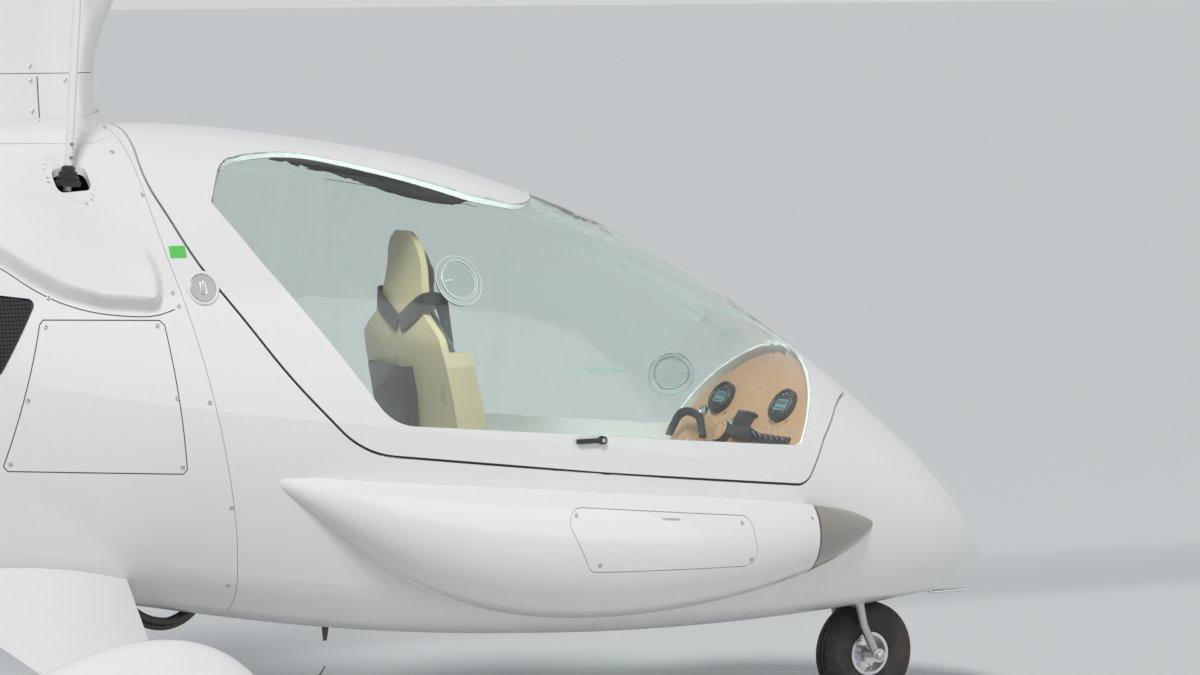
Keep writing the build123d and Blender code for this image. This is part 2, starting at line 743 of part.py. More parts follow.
def seat_front(pan_z, top_z, trim):
    """Front view of the seat: wide at the hips, drawn in at the shoulders, narrow at the head."""
    half = SEAT_HALF - trim
    head = HEAD_HALF - trim
    with BuildSketch(Plane.YZ) as front:
        with BuildLine():
            FilletPolyline(
                (-half * 0.92, pan_z - 10),
                (-half, pan_z + 0.45 * (top_z - pan_z)),
                (-half * 0.9, pan_z + 0.62 * (top_z - pan_z)),
                (-head, pan_z + 0.76 * (top_z - pan_z)),
                (-head * 0.86, top_z - trim),
                (head * 0.86, top_z - trim),
                (head, pan_z + 0.76 * (top_z - pan_z)),
                (half * 0.9, pan_z + 0.62 * (top_z - pan_z)),
                (half, pan_z + 0.45 * (top_z - pan_z)),
                (half * 0.92, pan_z - 10),
                radius=[40, 60, 60, 50, 0.7 * head, 0.7 * head, 50, 60, 60, 40],
                close=True,
            )
        make_face()
    return front.sketch


def seat_solid(seat, near, far, trim):
    with BuildPart() as solid:
        extrude(seat_side(*seat, near, far), amount=SEAT_HALF + 50, both=True)
        extrude(seat_front(seat[1], seat[2], trim), amount=HULL[-1][0], mode=Mode.INTERSECT)
    return solid.part


for seat_name, seat in (("front_seat", FRONT_SEAT), ("rear_seat", REAR_SEAT)):
    with BuildPart() as seat_shell:
        add(seat_solid(seat, 0.0, SEAT_BOLSTER, 0.0))
        add(seat_solid(seat, SEAT_SHELL, 2 * SEAT_BOLSTER, SEAT_SHELL), mode=Mode.SUBTRACT)
        with BuildSketch(Plane.XY.offset(seat[1] + SHOULDER_SHARE * (seat[2] - seat[1]))):
            with Locations((seat[0] + SEAT_PAN_LONG / 2, 0)):
                Rectangle(2 * SEAT_PAN_LONG, 4 * SEAT_HALF)
        extrude(amount=SEAT_PAN_LONG, mode=Mode.SUBTRACT)
        add(seat_solid(seat, 0.0, SEAT_SHELL, 0.0))
    write(seat_shell, seat_name)
    with BuildPart() as seat_pad:
        add(seat_solid(seat, SEAT_SHELL, SEAT_SHELL + SEAT_PAD, SEAT_SHELL + SEAT_PAD_GAP))
    write(seat_pad, f"{seat_name}_pad")

# Instrument panel with its gauges, and the hood ahead of it under the glass
panel_up = Vector(sin(radians(PANEL_TILT)), 0, cos(radians(PANEL_TILT)))
panel_plane = Plane(
    origin=(PANEL_FOOT[0], 0, PANEL_FOOT[1]), x_dir=(0, -1, 0), z_dir=Vector(0, -1, 0).cross(panel_up)
)
with BuildPart() as panel_room:
    loft([oval_section(*row, inset=PANEL_CLEAR) for row in HULL[7:-2]])


def panel_arch(grow):
    arcs = oval_arcs(PANEL_HALF + grow, PANEL_HIGH + grow, 150.0)
    with BuildSketch(panel_plane) as arch:
        with BuildLine():
            Line((-PANEL_HALF - grow, -PANEL_DROP), (PANEL_HALF + grow, -PANEL_DROP))
            Line((PANEL_HALF + grow, -PANEL_DROP), arcs[4])
            ThreePointArc(*reversed(arcs[2:5]))
            ThreePointArc(arcs[2], arcs[0], (-arcs[2][0], arcs[2][1]))
            ThreePointArc(*[(-u, v) for u, v in arcs[2:5]])
            Line((-arcs[4][0], arcs[4][1]), (-PANEL_HALF - grow, -PANEL_DROP))
        make_face()
    return arch.sketch


with BuildPart() as instrument_panel:
    extrude(panel_arch(0.0), amount=-PANEL_THICK)
    add(panel_room.part, mode=Mode.INTERSECT)
    with BuildSketch(panel_plane):
        with Locations((-GAUGE_OUT, GAUGE_UP), (GAUGE_OUT, GAUGE_UP)):
            Circle(GAUGE_R)
    extrude(amount=GAUGE_DEEP)
write(instrument_panel, "instrument_panel")

with BuildPart() as panel_hood:
    with BuildSketch(panel_plane.offset(-PANEL_THICK)):
        with Locations((0, PANEL_HIGH / 2)):
            Rectangle(2 * SIDE_REACH, 2 * PANEL_HIGH)
    extrude(amount=-HOOD_LONG)
    add(panel_room.part, mode=Mode.INTERSECT)
    loft([oval_section(*row, inset=PANEL_CLEAR + HOOD_WALL) for row in HULL[7:-2]], mode=Mode.SUBTRACT)
write(panel_hood, "panel_hood")

# Stick, throttle and pedals
with BuildPart() as cockpit_controls:
    stick_x = FRONT_SEAT[0] + SEAT_PAN_LONG + 60
    add(tube([(stick_x, 0, FLOOR_Z + FLOOR_THICK), (stick_x, 0, 560), (stick_x + 40, 0, 680)], 40, 10))
    add(tube([(stick_x - 60, 270, FLOOR_Z + 90), (stick_x + 60, 270, 640)], 0, 8))
    for side in (1, -1):
        with BuildSketch(Plane.XY.offset(FLOOR_Z + FLOOR_THICK)):
            with Locations((PEDAL_X, side * 75)):
                Rectangle(12, 60)
        extrude(amount=110)
write(cockpit_controls, "cockpit_controls")

# Engine as one block with its gearbox, and the exhaust that leaves through the rear ring
with BuildPart() as engine_block:
    with BuildSketch(Plane.YZ.offset(-MAST_LONG / 2)):
        with Locations((0, ENGINE_Z)):
            Rectangle(ENGINE_WIDE, ENGINE_HIGH)
    extrude(amount=-ENGINE_LONG)
    with BuildSketch(Plane.YZ.offset(-MAST_LONG / 2 - ENGINE_LONG)):
        with Locations((0, PROP_Z)):
            Circle(GEARBOX_R)
    extrude(amount=GEARBOX_END_X + MAST_LONG / 2 + ENGINE_LONG)
    with BuildSketch(Plane.YZ.offset(GEARBOX_END_X)):
        with Locations((0, PROP_Z)):
            Circle(PROP_SHAFT_R + HEAD_PLAY)
    extrude(amount=PROP_SOCKET, mode=Mode.SUBTRACT)
write(engine_block, "engine_block")

# Mast, its fairing and the two control rods
with BuildPart() as mast_tube:
    with BuildSketch(Plane.XY.offset(MAST_FOOT_Z)):
        Rectangle(MAST_LONG, MAST_WIDE)
    extrude(amount=MAST_TOP_Z - MAST_FOOT_Z)
write(mast_tube, "mast_tube")


def fairing_section(z, x_front, x_rear, half_thick, inset):
    """Plan view of the mast fairing: round nose, tapering tail."""
    nose_r = half_thick - inset
    nose_x = x_front - half_thick
    tail_x = x_rear + 3 * inset
    tail_r = 8.0
    swing = asin((nose_r - tail_r) / (nose_x - tail_x))
    nose_edge = (nose_x - nose_r * sin(swing), nose_r * cos(swing))
    tail_edge = (tail_x - tail_r * sin(swing), tail_r * cos(swing))
    with BuildSketch(Plane.XY.offset(z)) as section:
        with BuildLine():
            ThreePointArc((nose_edge[0], -nose_edge[1]), (nose_x + nose_r, 0), nose_edge)
            Line(nose_edge, tail_edge)
            ThreePointArc(tail_edge, (tail_x - tail_r, 0), (tail_edge[0], -tail_edge[1]))
            Line((tail_edge[0], -tail_edge[1]), (nose_edge[0], -nose_edge[1]))
        make_face()
    return section.sketch


with BuildPart() as fairing_blank:
    loft([fairing_section(*row, 0.0) for row in FAIRING])
    loft([fairing_section(*row, FAIRING_WALL) for row in FAIRING], mode=Mode.SUBTRACT)

with BuildPart() as mast_fairing_low:
    add(fairing_blank.part)
    split(bisect_by=Plane.XY.offset(FAIRING_SPLIT_Z), keep=Keep.BOTTOM)
    add(hull_outer.part, mode=Mode.SUBTRACT)
write(mast_fairing_low, "mast_fairing_low")

with BuildPart() as mast_fairing_high:
    add(fairing_blank.part)
    split(bisect_by=Plane.XY.offset(FAIRING_SPLIT_Z + PANEL_SEAM), keep=Keep.TOP)
write(mast_fairing_high, "mast_fairing_high")

with BuildPart() as control_rods:
    for side in (1, -1):
        foot = (ROD_FOOT[0], side * ROD_FOOT[1], ROD_FOOT[2])
        top = (ROD_TOP[0], side * ROD_TOP[1], ROD_TOP[2])
        add(tube([foot, top], 0, ROD_R))
write(control_rods, "control_rods")

# Rotor head on the mast: cheek plates, head block and control yoke
with BuildPart() as rotor_head:
    with BuildSketch(Plane.XY.offset(MAST_TOP_Z)):
        Rectangle(HEAD_PLATE_LONG, MAST_WIDE)
    extrude(amount=HEAD_BLOCK_Z - MAST_TOP_Z)
    with BuildSketch(Plane.XY.offset(HEAD_BLOCK_Z)):
        Circle(HEAD_BLOCK_R)
    extrude(amount=RING_GEAR_Z - RUN_GAP - HEAD_BLOCK_Z)
    with BuildSketch(Plane.YZ.offset(ROD_TOP[0] - YOKE_WIDE / 2)):
        with Locations((0, HEAD_BLOCK_Z + YOKE_WIDE / 2)):
            Rectangle(2 * ROD_TOP[1] + YOKE_WIDE, YOKE_WIDE)
    extrude(amount=YOKE_WIDE)
    with BuildSketch(Plane.XY.offset(HEAD_BLOCK_Z)):
        with Locations((ROD_TOP[0] / 2, 0)):
            Rectangle(ROD_TOP[0], YOKE_WIDE)
    extrude(amount=YOKE_WIDE)
    with BuildSketch(Plane.XY.offset(HEAD_BLOCK_Z)):
        Circle(HEAD_SHAFT_R + HEAD_PLAY)
    extrude(amount=RING_GEAR_Z - HEAD_BLOCK_Z, mode=Mode.SUBTRACT)
write(rotor_head, "rotor_head")

# Rotor tower: spindle, prerotator ring gear and the two teeter plates
with BuildPart() as rotor_tower:
    with BuildSketch(Plane.XY.offset(HEAD_BLOCK_Z + RUN_GAP)):
        Circle(HEAD_SHAFT_R)
    extrude(amount=RING_GEAR_Z - HEAD_BLOCK_Z)
    with BuildSketch(Plane.XY.offset(RING_GEAR_Z)):
        Circle(RING_GEAR_R)
        with PolarLocations(RING_GEAR_R, RING_TEETH):
            Rectangle(2 * RING_TOOTH, RING_TOOTH)
    extrude(amount=RING_GEAR_THICK)
    with BuildSketch(Plane.XY.offset(RING_GEAR_Z)):
        Rectangle(TOWER_LONG, 2 * TOWER_HALF + 2 * TOWER_PLATE)
    extrude(amount=TOWER_FOOT)
    for side in (1, -1):
        with BuildSketch(Plane.XZ.offset(-side * (TOWER_HALF + TOWER_PLATE / 2))):
            with BuildLine():
                Polyline(
                    (-TOWER_LONG / 2, RING_GEAR_Z),
                    (TOWER_LONG / 2, RING_GEAR_Z),
                    (TOWER_LONG / 4, TOWER_TOP_Z),
                    (-TOWER_LONG / 4, TOWER_TOP_Z),
                    close=True,
                )
            make_face()
        extrude(amount=TOWER_PLATE / 2, both=True)
    with BuildSketch(Plane.XZ.offset(-TOWER_HALF - TOWER_PLATE)):
        with Locations((0, TEETER_Z)):
            Circle(TEETER_BOLT_R)
    extrude(amount=2 * TOWER_HALF + 2 * TOWER_PLATE)
write(rotor_tower, "rotor_tower")

# Hub bar under the teeter bolt, and two drooping blades
with BuildPart() as rotor_hub_bar:
    with BuildSketch(Plane.XY.offset(HUB_BAR_Z)):
        SlotOverall(2 * HUB_BAR_HALF, HUB_BAR_WIDE)
    extrude(amount=HUB_BAR_THICK)
    with BuildSketch(Plane.XZ.offset(-TEETER_BLOCK_WIDE / 2)):
        with BuildLine():
            Polyline(
                (-TEETER_BLOCK_LONG / 2, HUB_BAR_Z),
                (TEETER_BLOCK_LONG / 2, HUB_BAR_Z),
                (TEETER_BLOCK_LONG / 4, TEETER_Z + 2 * TEETER_BOLT_R),
                (-TEETER_BLOCK_LONG / 4, TEETER_Z + 2 * TEETER_BOLT_R),
                close=True,
            )
        make_face()
    extrude(amount=TEETER_BLOCK_WIDE)
    with BuildSketch(Plane.XZ.offset(-SIDE_REACH)):
        with Locations((0, TEETER_Z)):
            Circle(TEETER_BOLT_R + HEAD_PLAY)
    extrude(amount=2 * SIDE_REACH, mode=Mode.SUBTRACT)
write(rotor_hub_bar, "rotor_hub_bar")

blade_long = ROTOR_R - BLADE_ROOT
droop_r = blade_long**2 / (2 * BLADE_DROOP)
blade_z = HUB_BAR_Z - 0.75 * BLADE_THICK
with BuildPart() as rotor_blades:
    with BuildSketch(Plane(origin=(BLADE_ROOT, 0, blade_z), x_dir=(0, -1, 0), z_dir=(1, 0, 0))):
        with BuildLine():
            ThreePointArc((-BLADE_CHORD * 0.28, 0), (0, BLADE_THICK * 0.5), (BLADE_CHORD * 0.72, 0))
            ThreePointArc((BLADE_CHORD * 0.72, 0), (0, -BLADE_THICK * 0.5), (-BLADE_CHORD * 0.28, 0))
        make_face()
    revolve(
        axis=Axis((BLADE_ROOT, 0, blade_z - droop_r), (0, 1, 0)),
        revolution_arc=blade_long / droop_r * 180 / pi,
    )
    with BuildSketch(Plane.XY.offset(HUB_BAR_Z)):
        with Locations(((BLADE_ROOT + HUB_BAR_HALF) / 2 - 20, 0)):
            Rectangle(HUB_BAR_HALF - BLADE_ROOT + 80, HUB_BAR_WIDE)
    extrude(amount=-0.75 * BLADE_THICK)
    add(rotor_blades.part.rotate(Axis.Z, 180))
write(rotor_blades, "rotor_blades")

# Pusher propeller
shaft_end = GEARBOX_END_X + PROP_SOCKET - RUN_GAP
hub_front = PROP_X + PROP_HUB_THICK / 2
hub_rear = PROP_X - PROP_HUB_THICK / 2
spinner_tip = (hub_rear - SPINNER_LONG, PROP_Z + SPINNER_FLAT)
spinner_edge = (hub_rear, PROP_Z + PROP_HUB_R)
with BuildPart() as propeller_hub:
    with BuildSketch(Plane.XZ):
        with BuildLine():
            Polyline(
                spinner_tip,
                (hub_rear - SPINNER_LONG, PROP_Z),
                (shaft_end, PROP_Z),
                (shaft_end, PROP_Z + PROP_SHAFT_R),
                (hub_front, PROP_Z + PROP_SHAFT_R),
                (hub_front, PROP_Z + PROP_HUB_R),
                spinner_edge,
            )
            ThreePointArc(
                spinner_edge,
                (hub_rear - 0.62 * SPINNER_LONG, PROP_Z + 0.68 * PROP_HUB_R),
                spinner_tip,
            )
        make_face()
    revolve(axis=Axis((0, 0, PROP_Z), (1, 0, 0)))
write(propeller_hub, "propeller_hub")


def prop_section(radius, chord, thick, pitch):
    """Blade section at a radius, turned from the plane of rotation by its pitch."""
    turn = radians(pitch)
    plane = Plane(origin=(PROP_X, 0, PROP_Z + radius), x_dir=(sin(turn), cos(turn), 0), z_dir=(0, 0, 1))
    return lens_section(plane, chord, thick)


with BuildPart() as prop_blade:
    loft([prop_section(*row) for row in PROP_STATIONS])
    add(propeller_hub.part, mode=Mode.SUBTRACT)
with BuildPart() as propeller_blades:
    for step in range(PROP_BLADES):
        add(prop_blade.part.rotate(Axis((0, 0, PROP_Z), (1, 0, 0)), 180 + step * 360 / PROP_BLADES))
write(propeller_blades, "propeller_blades")

# Tail: boom, tailplane with end fins, middle fin and rudder
boom_sections = []
for x, z_low, z_high, half_width in BOOM:
    corner = 0.3 * (z_high - z_low)
    right = [(half_width - corner, z_high), (half_width, z_high - corner)]
    right += [(half_width, z_low + corner), (half_width - corner, z_low)]
    with BuildSketch(Plane.YZ.offset(x)) as section:
        with BuildLine():
            Polyline(*right, *[(-y, z) for y, z in reversed(right)], close=True)
        make_face()
    boom_sections.append(section.sketch)

with BuildPart() as tail_boom:
    loft(boom_sections, ruled=True)
    with BuildSketch(Plane.XZ.offset(-SKID_WIDE / 2)):
        with BuildLine():
            Polyline(
                (SKID_X + 90, SKID_TOP_Z),
                (SKID_X + 40, SKID_LOW_Z),
                (SKID_X - 60, SKID_LOW_Z),
                (SKID_X - 90, SKID_TOP_Z),
                close=True,
            )
        make_face()
    extrude(amount=SKID_WIDE)
    with BuildSketch(Plane.XZ.offset(-SIDE_REACH)):
        with Locations((SKID_X - 10, SKID_LOW_Z + 2 * TIE_DOWN_R)):
            Circle(TIE_DOWN_R)
    extrude(amount=2 * SIDE_REACH, mode=Mode.SUBTRACT)
write(tail_boom, "tail_boom")


def upright_fin(sections, y=0.0):
    """Upright surface through lens sections: rows of x_front, z, chord, thickness."""
    with BuildPart() as fin:
        loft(
            [
                lens_section(Plane.XY.offset(z).shift_origin((x - chord / 2, y, z)), chord, thick)
                for x, z, chord, thick in sections
            ],
            ruled=True,
        )
    return fin.part


fin_rear = RUDDER_X + RUDDER_NOSE_R + RUDDER_GAP
low_chord = FIN_FRONT_LOW - RUDDER_X + RUDDER_CHORD
high_chord = FIN_FRONT_HIGH - RUDDER_X + RUDDER_TIP_CHORD
fin_blank = upright_fin(
    [
        (FIN_FRONT_LOW, TAILPLANE_Z, low_chord, FIN_THICK),
        (FIN_FRONT_HIGH, FIN_HIGH, high_chord, FIN_TIP_THICK),
    ]
)
with BuildPart() as tail_fin:
    add(fin_blank)
    with BuildSketch(Plane.YZ.offset(fin_rear)):
        with Locations((0, FIN_HIGH)):
            Rectangle(2 * SIDE_REACH, 4 * FIN_HIGH)
    extrude(amount=-ROOF_REACH, mode=Mode.SUBTRACT)
    add(tail_boom.part, mode=Mode.SUBTRACT)
    for eye_z in RUDDER_EYES:
        with BuildSketch(Plane.XY.offset(eye_z)):
            with Locations((fin_rear + RUDDER_EYE_R, 0)):
                Rectangle(RUDDER_EYE_R * 2, RUDDER_EYE_R)
            with Locations(((fin_rear + RUDDER_X) / 2, 0)):
                Rectangle(fin_rear - RUDDER_X, RUDDER_EYE_R)
            with Locations((RUDDER_X, 0)):
                Circle(RUDDER_EYE_R)
        extrude(amount=RUDDER_EYE_THICK)
        with BuildSketch(Plane.XY.offset(eye_z)):
            with Locations((RUDDER_X, 0)):
                Circle(RUDDER_PIN_R)
        extrude(amount=RUDDER_EYE_THICK + RUDDER_PIN_LONG)
write(tail_fin, "tail_fin")

with BuildPart() as rudder:
    add(fin_blank)
    with BuildSketch(Plane.YZ.offset(RUDDER_X)):
        with Locations((0, FIN_HIGH)):
            Rectangle(2 * SIDE_REACH, 4 * FIN_HIGH)
    extrude(amount=SIDE_REACH + FIN_HIGH, mode=Mode.SUBTRACT)
    with BuildSketch(Plane.XY.offset(RUDDER_LOW)):
        with Locations((RUDDER_X, 0)):
            Circle(RUDDER_NOSE_R)
    extrude(amount=FIN_HIGH - RUDDER_LOW)
    with BuildSketch(Plane.XY):
        with Locations((RUDDER_X, 0)):
            Rectangle(2 * SIDE_REACH, SIDE_REACH)
    extrude(amount=RUDDER_LOW, mode=Mode.SUBTRACT)
    for eye_z in RUDDER_EYES:
        with BuildSketch(Plane.XY.offset(eye_z - RUDDER_GAP)):
            with Locations((RUDDER_X, 0)):
                Circle(RUDDER_NOSE_R + RUDDER_GAP)
        extrude(amount=RUDDER_EYE_THICK + 2 * RUDDER_GAP, mode=Mode.SUBTRACT)
        with BuildSketch(Plane.XY.offset(eye_z)):
            with Locations((RUDDER_X, 0)):
                Circle(RUDDER_PIN_R + HEAD_PLAY)
        extrude(amount=RUDDER_EYE_THICK + RUDDER_PIN_LONG + RUDDER_GAP, mode=Mode.SUBTRACT)
write(rudder, "rudder")

with BuildPart() as tailplane:
    half_plane = Plane(
        origin=(TAILPLANE_FRONT - TAILPLANE_CHORD / 2, -TAILPLANE_HALF, TAILPLANE_Z),
        x_dir=(1, 0, 0),
        z_dir=(0, 1, 0),
    )
    extrude(lens_section(half_plane, TAILPLANE_CHORD, TAILPLANE_THICK), amount=2 * TAILPLANE_HALF)
    for side in (1, -1):
        add(
            upright_fin(
                [
                    (TAILPLANE_FRONT, END_FIN_LOW, END_FIN_CHORD, END_FIN_THICK),
                    (TAILPLANE_FRONT - 130, END_FIN_HIGH, END_FIN_TIP_CHORD, END_FIN_THICK * 0.7),
                ],
                side * TAILPLANE_HALF,
            )
        )
    add(tail_boom.part, mode=Mode.SUBTRACT)
    add(tail_fin.part, mode=Mode.SUBTRACT)
write(tailplane, "tailplane")

# Main gear: spats, legs, axles and wheels
def spat_solid(side, inset):
    rows = SPAT if inset == 0 else SPAT[1:-1]
    sections = []
    for x, z_low, z_high, half_width in rows:
        with BuildSketch(Plane.YZ.offset(x)) as section:
            with Locations((side * MAIN_Y, (z_low + z_high) / 2)):
                Ellipse(half_width - inset, (z_high - z_low) / 2 - inset)
        sections.append(section.sketch)
    with BuildPart() as solid:
        loft(sections)
    return solid.part


with BuildPart() as wheel_spats:
    for side in (1, -1):
        add(spat_solid(side, 0.0) - spat_solid(side, SPAT_WALL))
    with BuildSketch(Plane.XY.offset(SPAT_FLOOR_Z)):
        with Locations((MAIN_X, 0)):
            Rectangle(4 * MAIN_Y, 4 * MAIN_Y)
    extrude(amount=-SPAT_FLOOR_Z - SIDE_REACH, mode=Mode.SUBTRACT)
write(wheel_spats, "wheel_spats")

with BuildPart() as gear_legs:
    for side in (1, -1):
        sections = []
        for (x, y, z), chord, thick in (
            (LEG_ROOT, LEG_ROOT_CHORD, LEG_ROOT_THICK),
            (LEG_TIP, LEG_TIP_CHORD, LEG_TIP_THICK),
        ):
            plane = Plane(origin=(x, side * y, z), x_dir=(1, 0, 0), z_dir=(0, 1, 0))
            sections.append(lens_section(plane, chord, thick))
        leg = Solid.make_loft([section.face().outer_wire() for section in sections], True)
        add(leg - spat_solid(side, 0.0))
    add(hull_outer.part, mode=Mode.SUBTRACT)
    add(tail_boom.part, mode=Mode.SUBTRACT)
write(gear_legs, "gear_legs")

with BuildPart() as main_axles:
    for side in (1, -1):
        with BuildPart(mode=Mode.PRIVATE) as block:
            with BuildSketch(Plane.XZ.offset(-side * (MAIN_Y - MAIN_TYRE_WIDE / 2 - AXLE_BLOCK_GAP))):
                with Locations((MAIN_X, MAIN_TYRE_R + AXLE_BLOCK_HIGH / 2 - AXLE_BLOCK_WIDE / 2)):
                    Rectangle(AXLE_BLOCK_WIDE, AXLE_BLOCK_HIGH)
            extrude(amount=side * MAIN_TYRE_WIDE)
            add(spat_solid(side, SPAT_WALL), mode=Mode.INTERSECT)
            with BuildSketch(Plane.XZ.offset(-side * (MAIN_Y - MAIN_TYRE_WIDE / 2 - AXLE_BLOCK_GAP))):
                with Locations((MAIN_X, MAIN_TYRE_R)):
                    Circle(MAIN_AXLE_R)
            extrude(amount=-side * (MAIN_TYRE_WIDE + AXLE_BLOCK_GAP))
        add(block.part)
write(main_axles, "main_axles")


def wheel(x, y, tyre_r, tyre_wide, rim_r, bore_r, name):
    """Tyre, and rim with its hub, on an axle along Y."""
    spin_axis = Axis((x, y, tyre_r), (0, 1, 0))
    bead = BEAD_SHARE * tyre_wide
    tread = TREAD_SHARE * tyre_wide
    tread_r = tyre_r - TREAD_DROP
    wall_r = 0.6 * tyre_r + 0.4 * rim_r
    hub = HUB_SHARE * tyre_wide
    section_plane = Plane(origin=(x, y, tyre_r), x_dir=(0, 1, 0), z_dir=(1, 0, 0))
    with BuildPart() as tyre:
        with BuildSketch(section_plane):
            with BuildLine():
                Line((-bead, rim_r), (bead, rim_r))
                ThreePointArc((bead, rim_r), (tyre_wide / 2, wall_r), (tread, tread_r))
                ThreePointArc((tread, tread_r), (0, tyre_r), (-tread, tread_r))
                ThreePointArc((-tread, tread_r), (-tyre_wide / 2, wall_r), (-bead, rim_r))
            make_face()
        revolve(axis=spin_axis)
    write(tyre, f"{name}_tyre")
    with BuildPart() as rim:
        with BuildSketch(section_plane):
            with BuildLine():
                Polyline(
                    (-bead, rim_r),
                    (-bead, rim_r - RIM_LIP),
                    (-RIM_WEB_HALF, rim_r - 2 * RIM_LIP),
                    (-RIM_WEB_HALF, bore_r + HUB_WALL),
                    (-hub, bore_r + HUB_WALL),
                    (-hub, bore_r + AXLE_PLAY),
                    (hub, bore_r + AXLE_PLAY),
                    (hub, bore_r + HUB_WALL),
                    (RIM_WEB_HALF, bore_r + HUB_WALL),
                    (RIM_WEB_HALF, rim_r - 2 * RIM_LIP),
                    (bead, rim_r - RIM_LIP),
                    (bead, rim_r),
                    close=True,
                )
            make_face()
        revolve(axis=spin_axis)
    write(rim, f"{name}_rim")


wheel(MAIN_X, MAIN_Y, MAIN_TYRE_R, MAIN_TYRE_WIDE, MAIN_RIM_R, MAIN_AXLE_R, "main_left")
wheel(MAIN_X, -MAIN_Y, MAIN_TYRE_R, MAIN_TYRE_WIDE, MAIN_RIM_R, MAIN_AXLE_R, "main_right")
wheel(NOSE_X, 0, NOSE_TYRE_R, NOSE_TYRE_WIDE, NOSE_RIM_R, NOSE_AXLE_R, "nose")

# Nose fork: stem, crown, two bowed legs and a hollow axle
crown = steer_foot + stem_dir * crown_at
with BuildPart() as nose_fork:
    with BuildSketch(Plane(origin=crown, z_dir=stem_dir)):
        Circle(STEM_R)
    extrude(amount=STEM_LONG)
    with BuildSketch(Plane(origin=crown - stem_dir * CROWN_THICK / 2, x_dir=(0, 1, 0), z_dir=stem_dir)):
        RectangleRounded(2 * FORK_HALF + 2 * FORK_LEG_R, 2.6 * FORK_LEG_R, FORK_LEG_R)
    extrude(amount=CROWN_THICK)
    for side in (1, -1):
        top = crown + Vector(0, side * FORK_HALF, 0)
        knee = Vector(KNEE_AT[0], side * FORK_HALF, KNEE_AT[1])
        foot = Vector(NOSE_X, side * FORK_HALF, NOSE_TYRE_R)
        for start, end in ((top, knee), (knee, foot)):
            run = end - start
            with BuildSketch(Plane(origin=start, z_dir=run)):
                Circle(FORK_LEG_R)
            extrude(amount=run.length)
        with Locations(knee):
            Sphere(FORK_LEG_R)
    with BuildSketch(Plane.XZ.offset(-FORK_HALF - FORK_LEG_R - 6)):
        with Locations((NOSE_X, NOSE_TYRE_R)):
            Circle(NOSE_AXLE_R)
    extrude(amount=2 * (FORK_HALF + FORK_LEG_R + 6))
    with BuildSketch(Plane.XZ.offset(-SIDE_REACH)):
        with Locations((NOSE_X, NOSE_TYRE_R)):
            Circle(TOW_BORE_R)
    extrude(amount=2 * SIDE_REACH, mode=Mode.SUBTRACT)
write(nose_fork, "nose_fork")

# Small fittings on the skin: fuel cap, pitot tubes, belly aerial and brake hoses
with BuildPart() as fuel_cap:
    with BuildSketch(Plane(origin=CAP_AT, x_dir=(1, 0, 0), z_dir=(0, -1, CAP_LEAN))):
        Circle(CAP_R)
    extrude(amount=CAP_PROUD)
    extrude(
        fuel_cap.part.faces().sort_by(Axis.Y)[0],
        amount=-4 * CAP_PROUD,
    )
    add(hull_outer.part, mode=Mode.SUBTRACT)
write(fuel_cap, "fuel_cap")

with BuildPart() as canopy_vents:
    for spot, facing in VENTS:
        with BuildSketch(Plane(origin=spot, z_dir=facing)):
            Circle(VENT_R)
        extrude(amount=VENT_PROUD)
        with BuildSketch(Plane(origin=spot, z_dir=facing)):
            Circle(VENT_R)
        extrude(amount=-VENT_DEEP)
        with BuildSketch(Plane(origin=spot, z_dir=facing)):
            Circle(VENT_R - VENT_RING)
            Circle(VENT_DISC_R, mode=Mode.SUBTRACT)
        extrude(amount=VENT_PROUD, mode=Mode.SUBTRACT)
    add(hull_outer.part, mode=Mode.SUBTRACT)
write(canopy_vents, "canopy_vents")

with BuildPart() as pitot_tubes:
    for y in (-PITOT_GAP, PITOT_GAP):
        root = (PITOT_X, y, PITOT_Z + PITOT_HIGH)
        elbow = (PITOT_X + PITOT_LEAN, y, PITOT_Z)
        add(tube([root, elbow, (PITOT_X + PITOT_LONG, y, PITOT_Z)], PITOT_BEND_R, PITOT_R))
    add(hull_outer.part, mode=Mode.SUBTRACT)
write(pitot_tubes, "pitot_tubes")

with BuildPart() as belly_aerial:
    with BuildSketch(Plane.XZ.offset(-AERIAL_THICK / 2)):
        with BuildLine():
            Polyline(
                (AERIAL_X - 3 * AERIAL_THICK, AERIAL_Z + AERIAL_HIGH),
                (AERIAL_X + 4 * AERIAL_THICK, AERIAL_Z + AERIAL_HIGH),
                (AERIAL_X + AERIAL_THICK, AERIAL_Z),
                (AERIAL_X - AERIAL_THICK, AERIAL_Z),
                close=True,
            )
        make_face()
    extrude(amount=AERIAL_THICK)
    add(hull_outer.part, mode=Mode.SUBTRACT)
write(belly_aerial, "belly_aerial")

with BuildPart() as belly_hoses:
    for y, sag in HOSES:
        with BuildLine() as hose_line:
            ThreePointArc(
                (HOSE_REAR_X, y, HOSE_END_Z), (HOSE_MID_X, y, HOSE_END_Z - sag), (HOSE_FRONT_X, y, HOSE_END_Z)
            )
        with BuildSketch(Plane(origin=hose_line.line @ 0, z_dir=hose_line.line % 0)):
            Circle(HOSE_R)
        sweep(path=hose_line.line)
    add(hull_outer.part, mode=Mode.SUBTRACT)
write(belly_hoses, "belly_hoses")
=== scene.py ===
# %% [markdown]
# # A two-seat enclosed gyrocopter
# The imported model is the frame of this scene. It gives every body, every solid and every joint in metres,
# with the origin on the ground under the rotor, +X to the nose, +Y to the left and +Z up. Everything below
# only adds finish and fittings to that frame, so nothing has to be measured twice.

# %% Load the frame
import json
from math import cos, pi, radians, sin

import bmesh
import bpy
from mathutils import Matrix, Vector
from mathutils.bvhtree import BVHTree


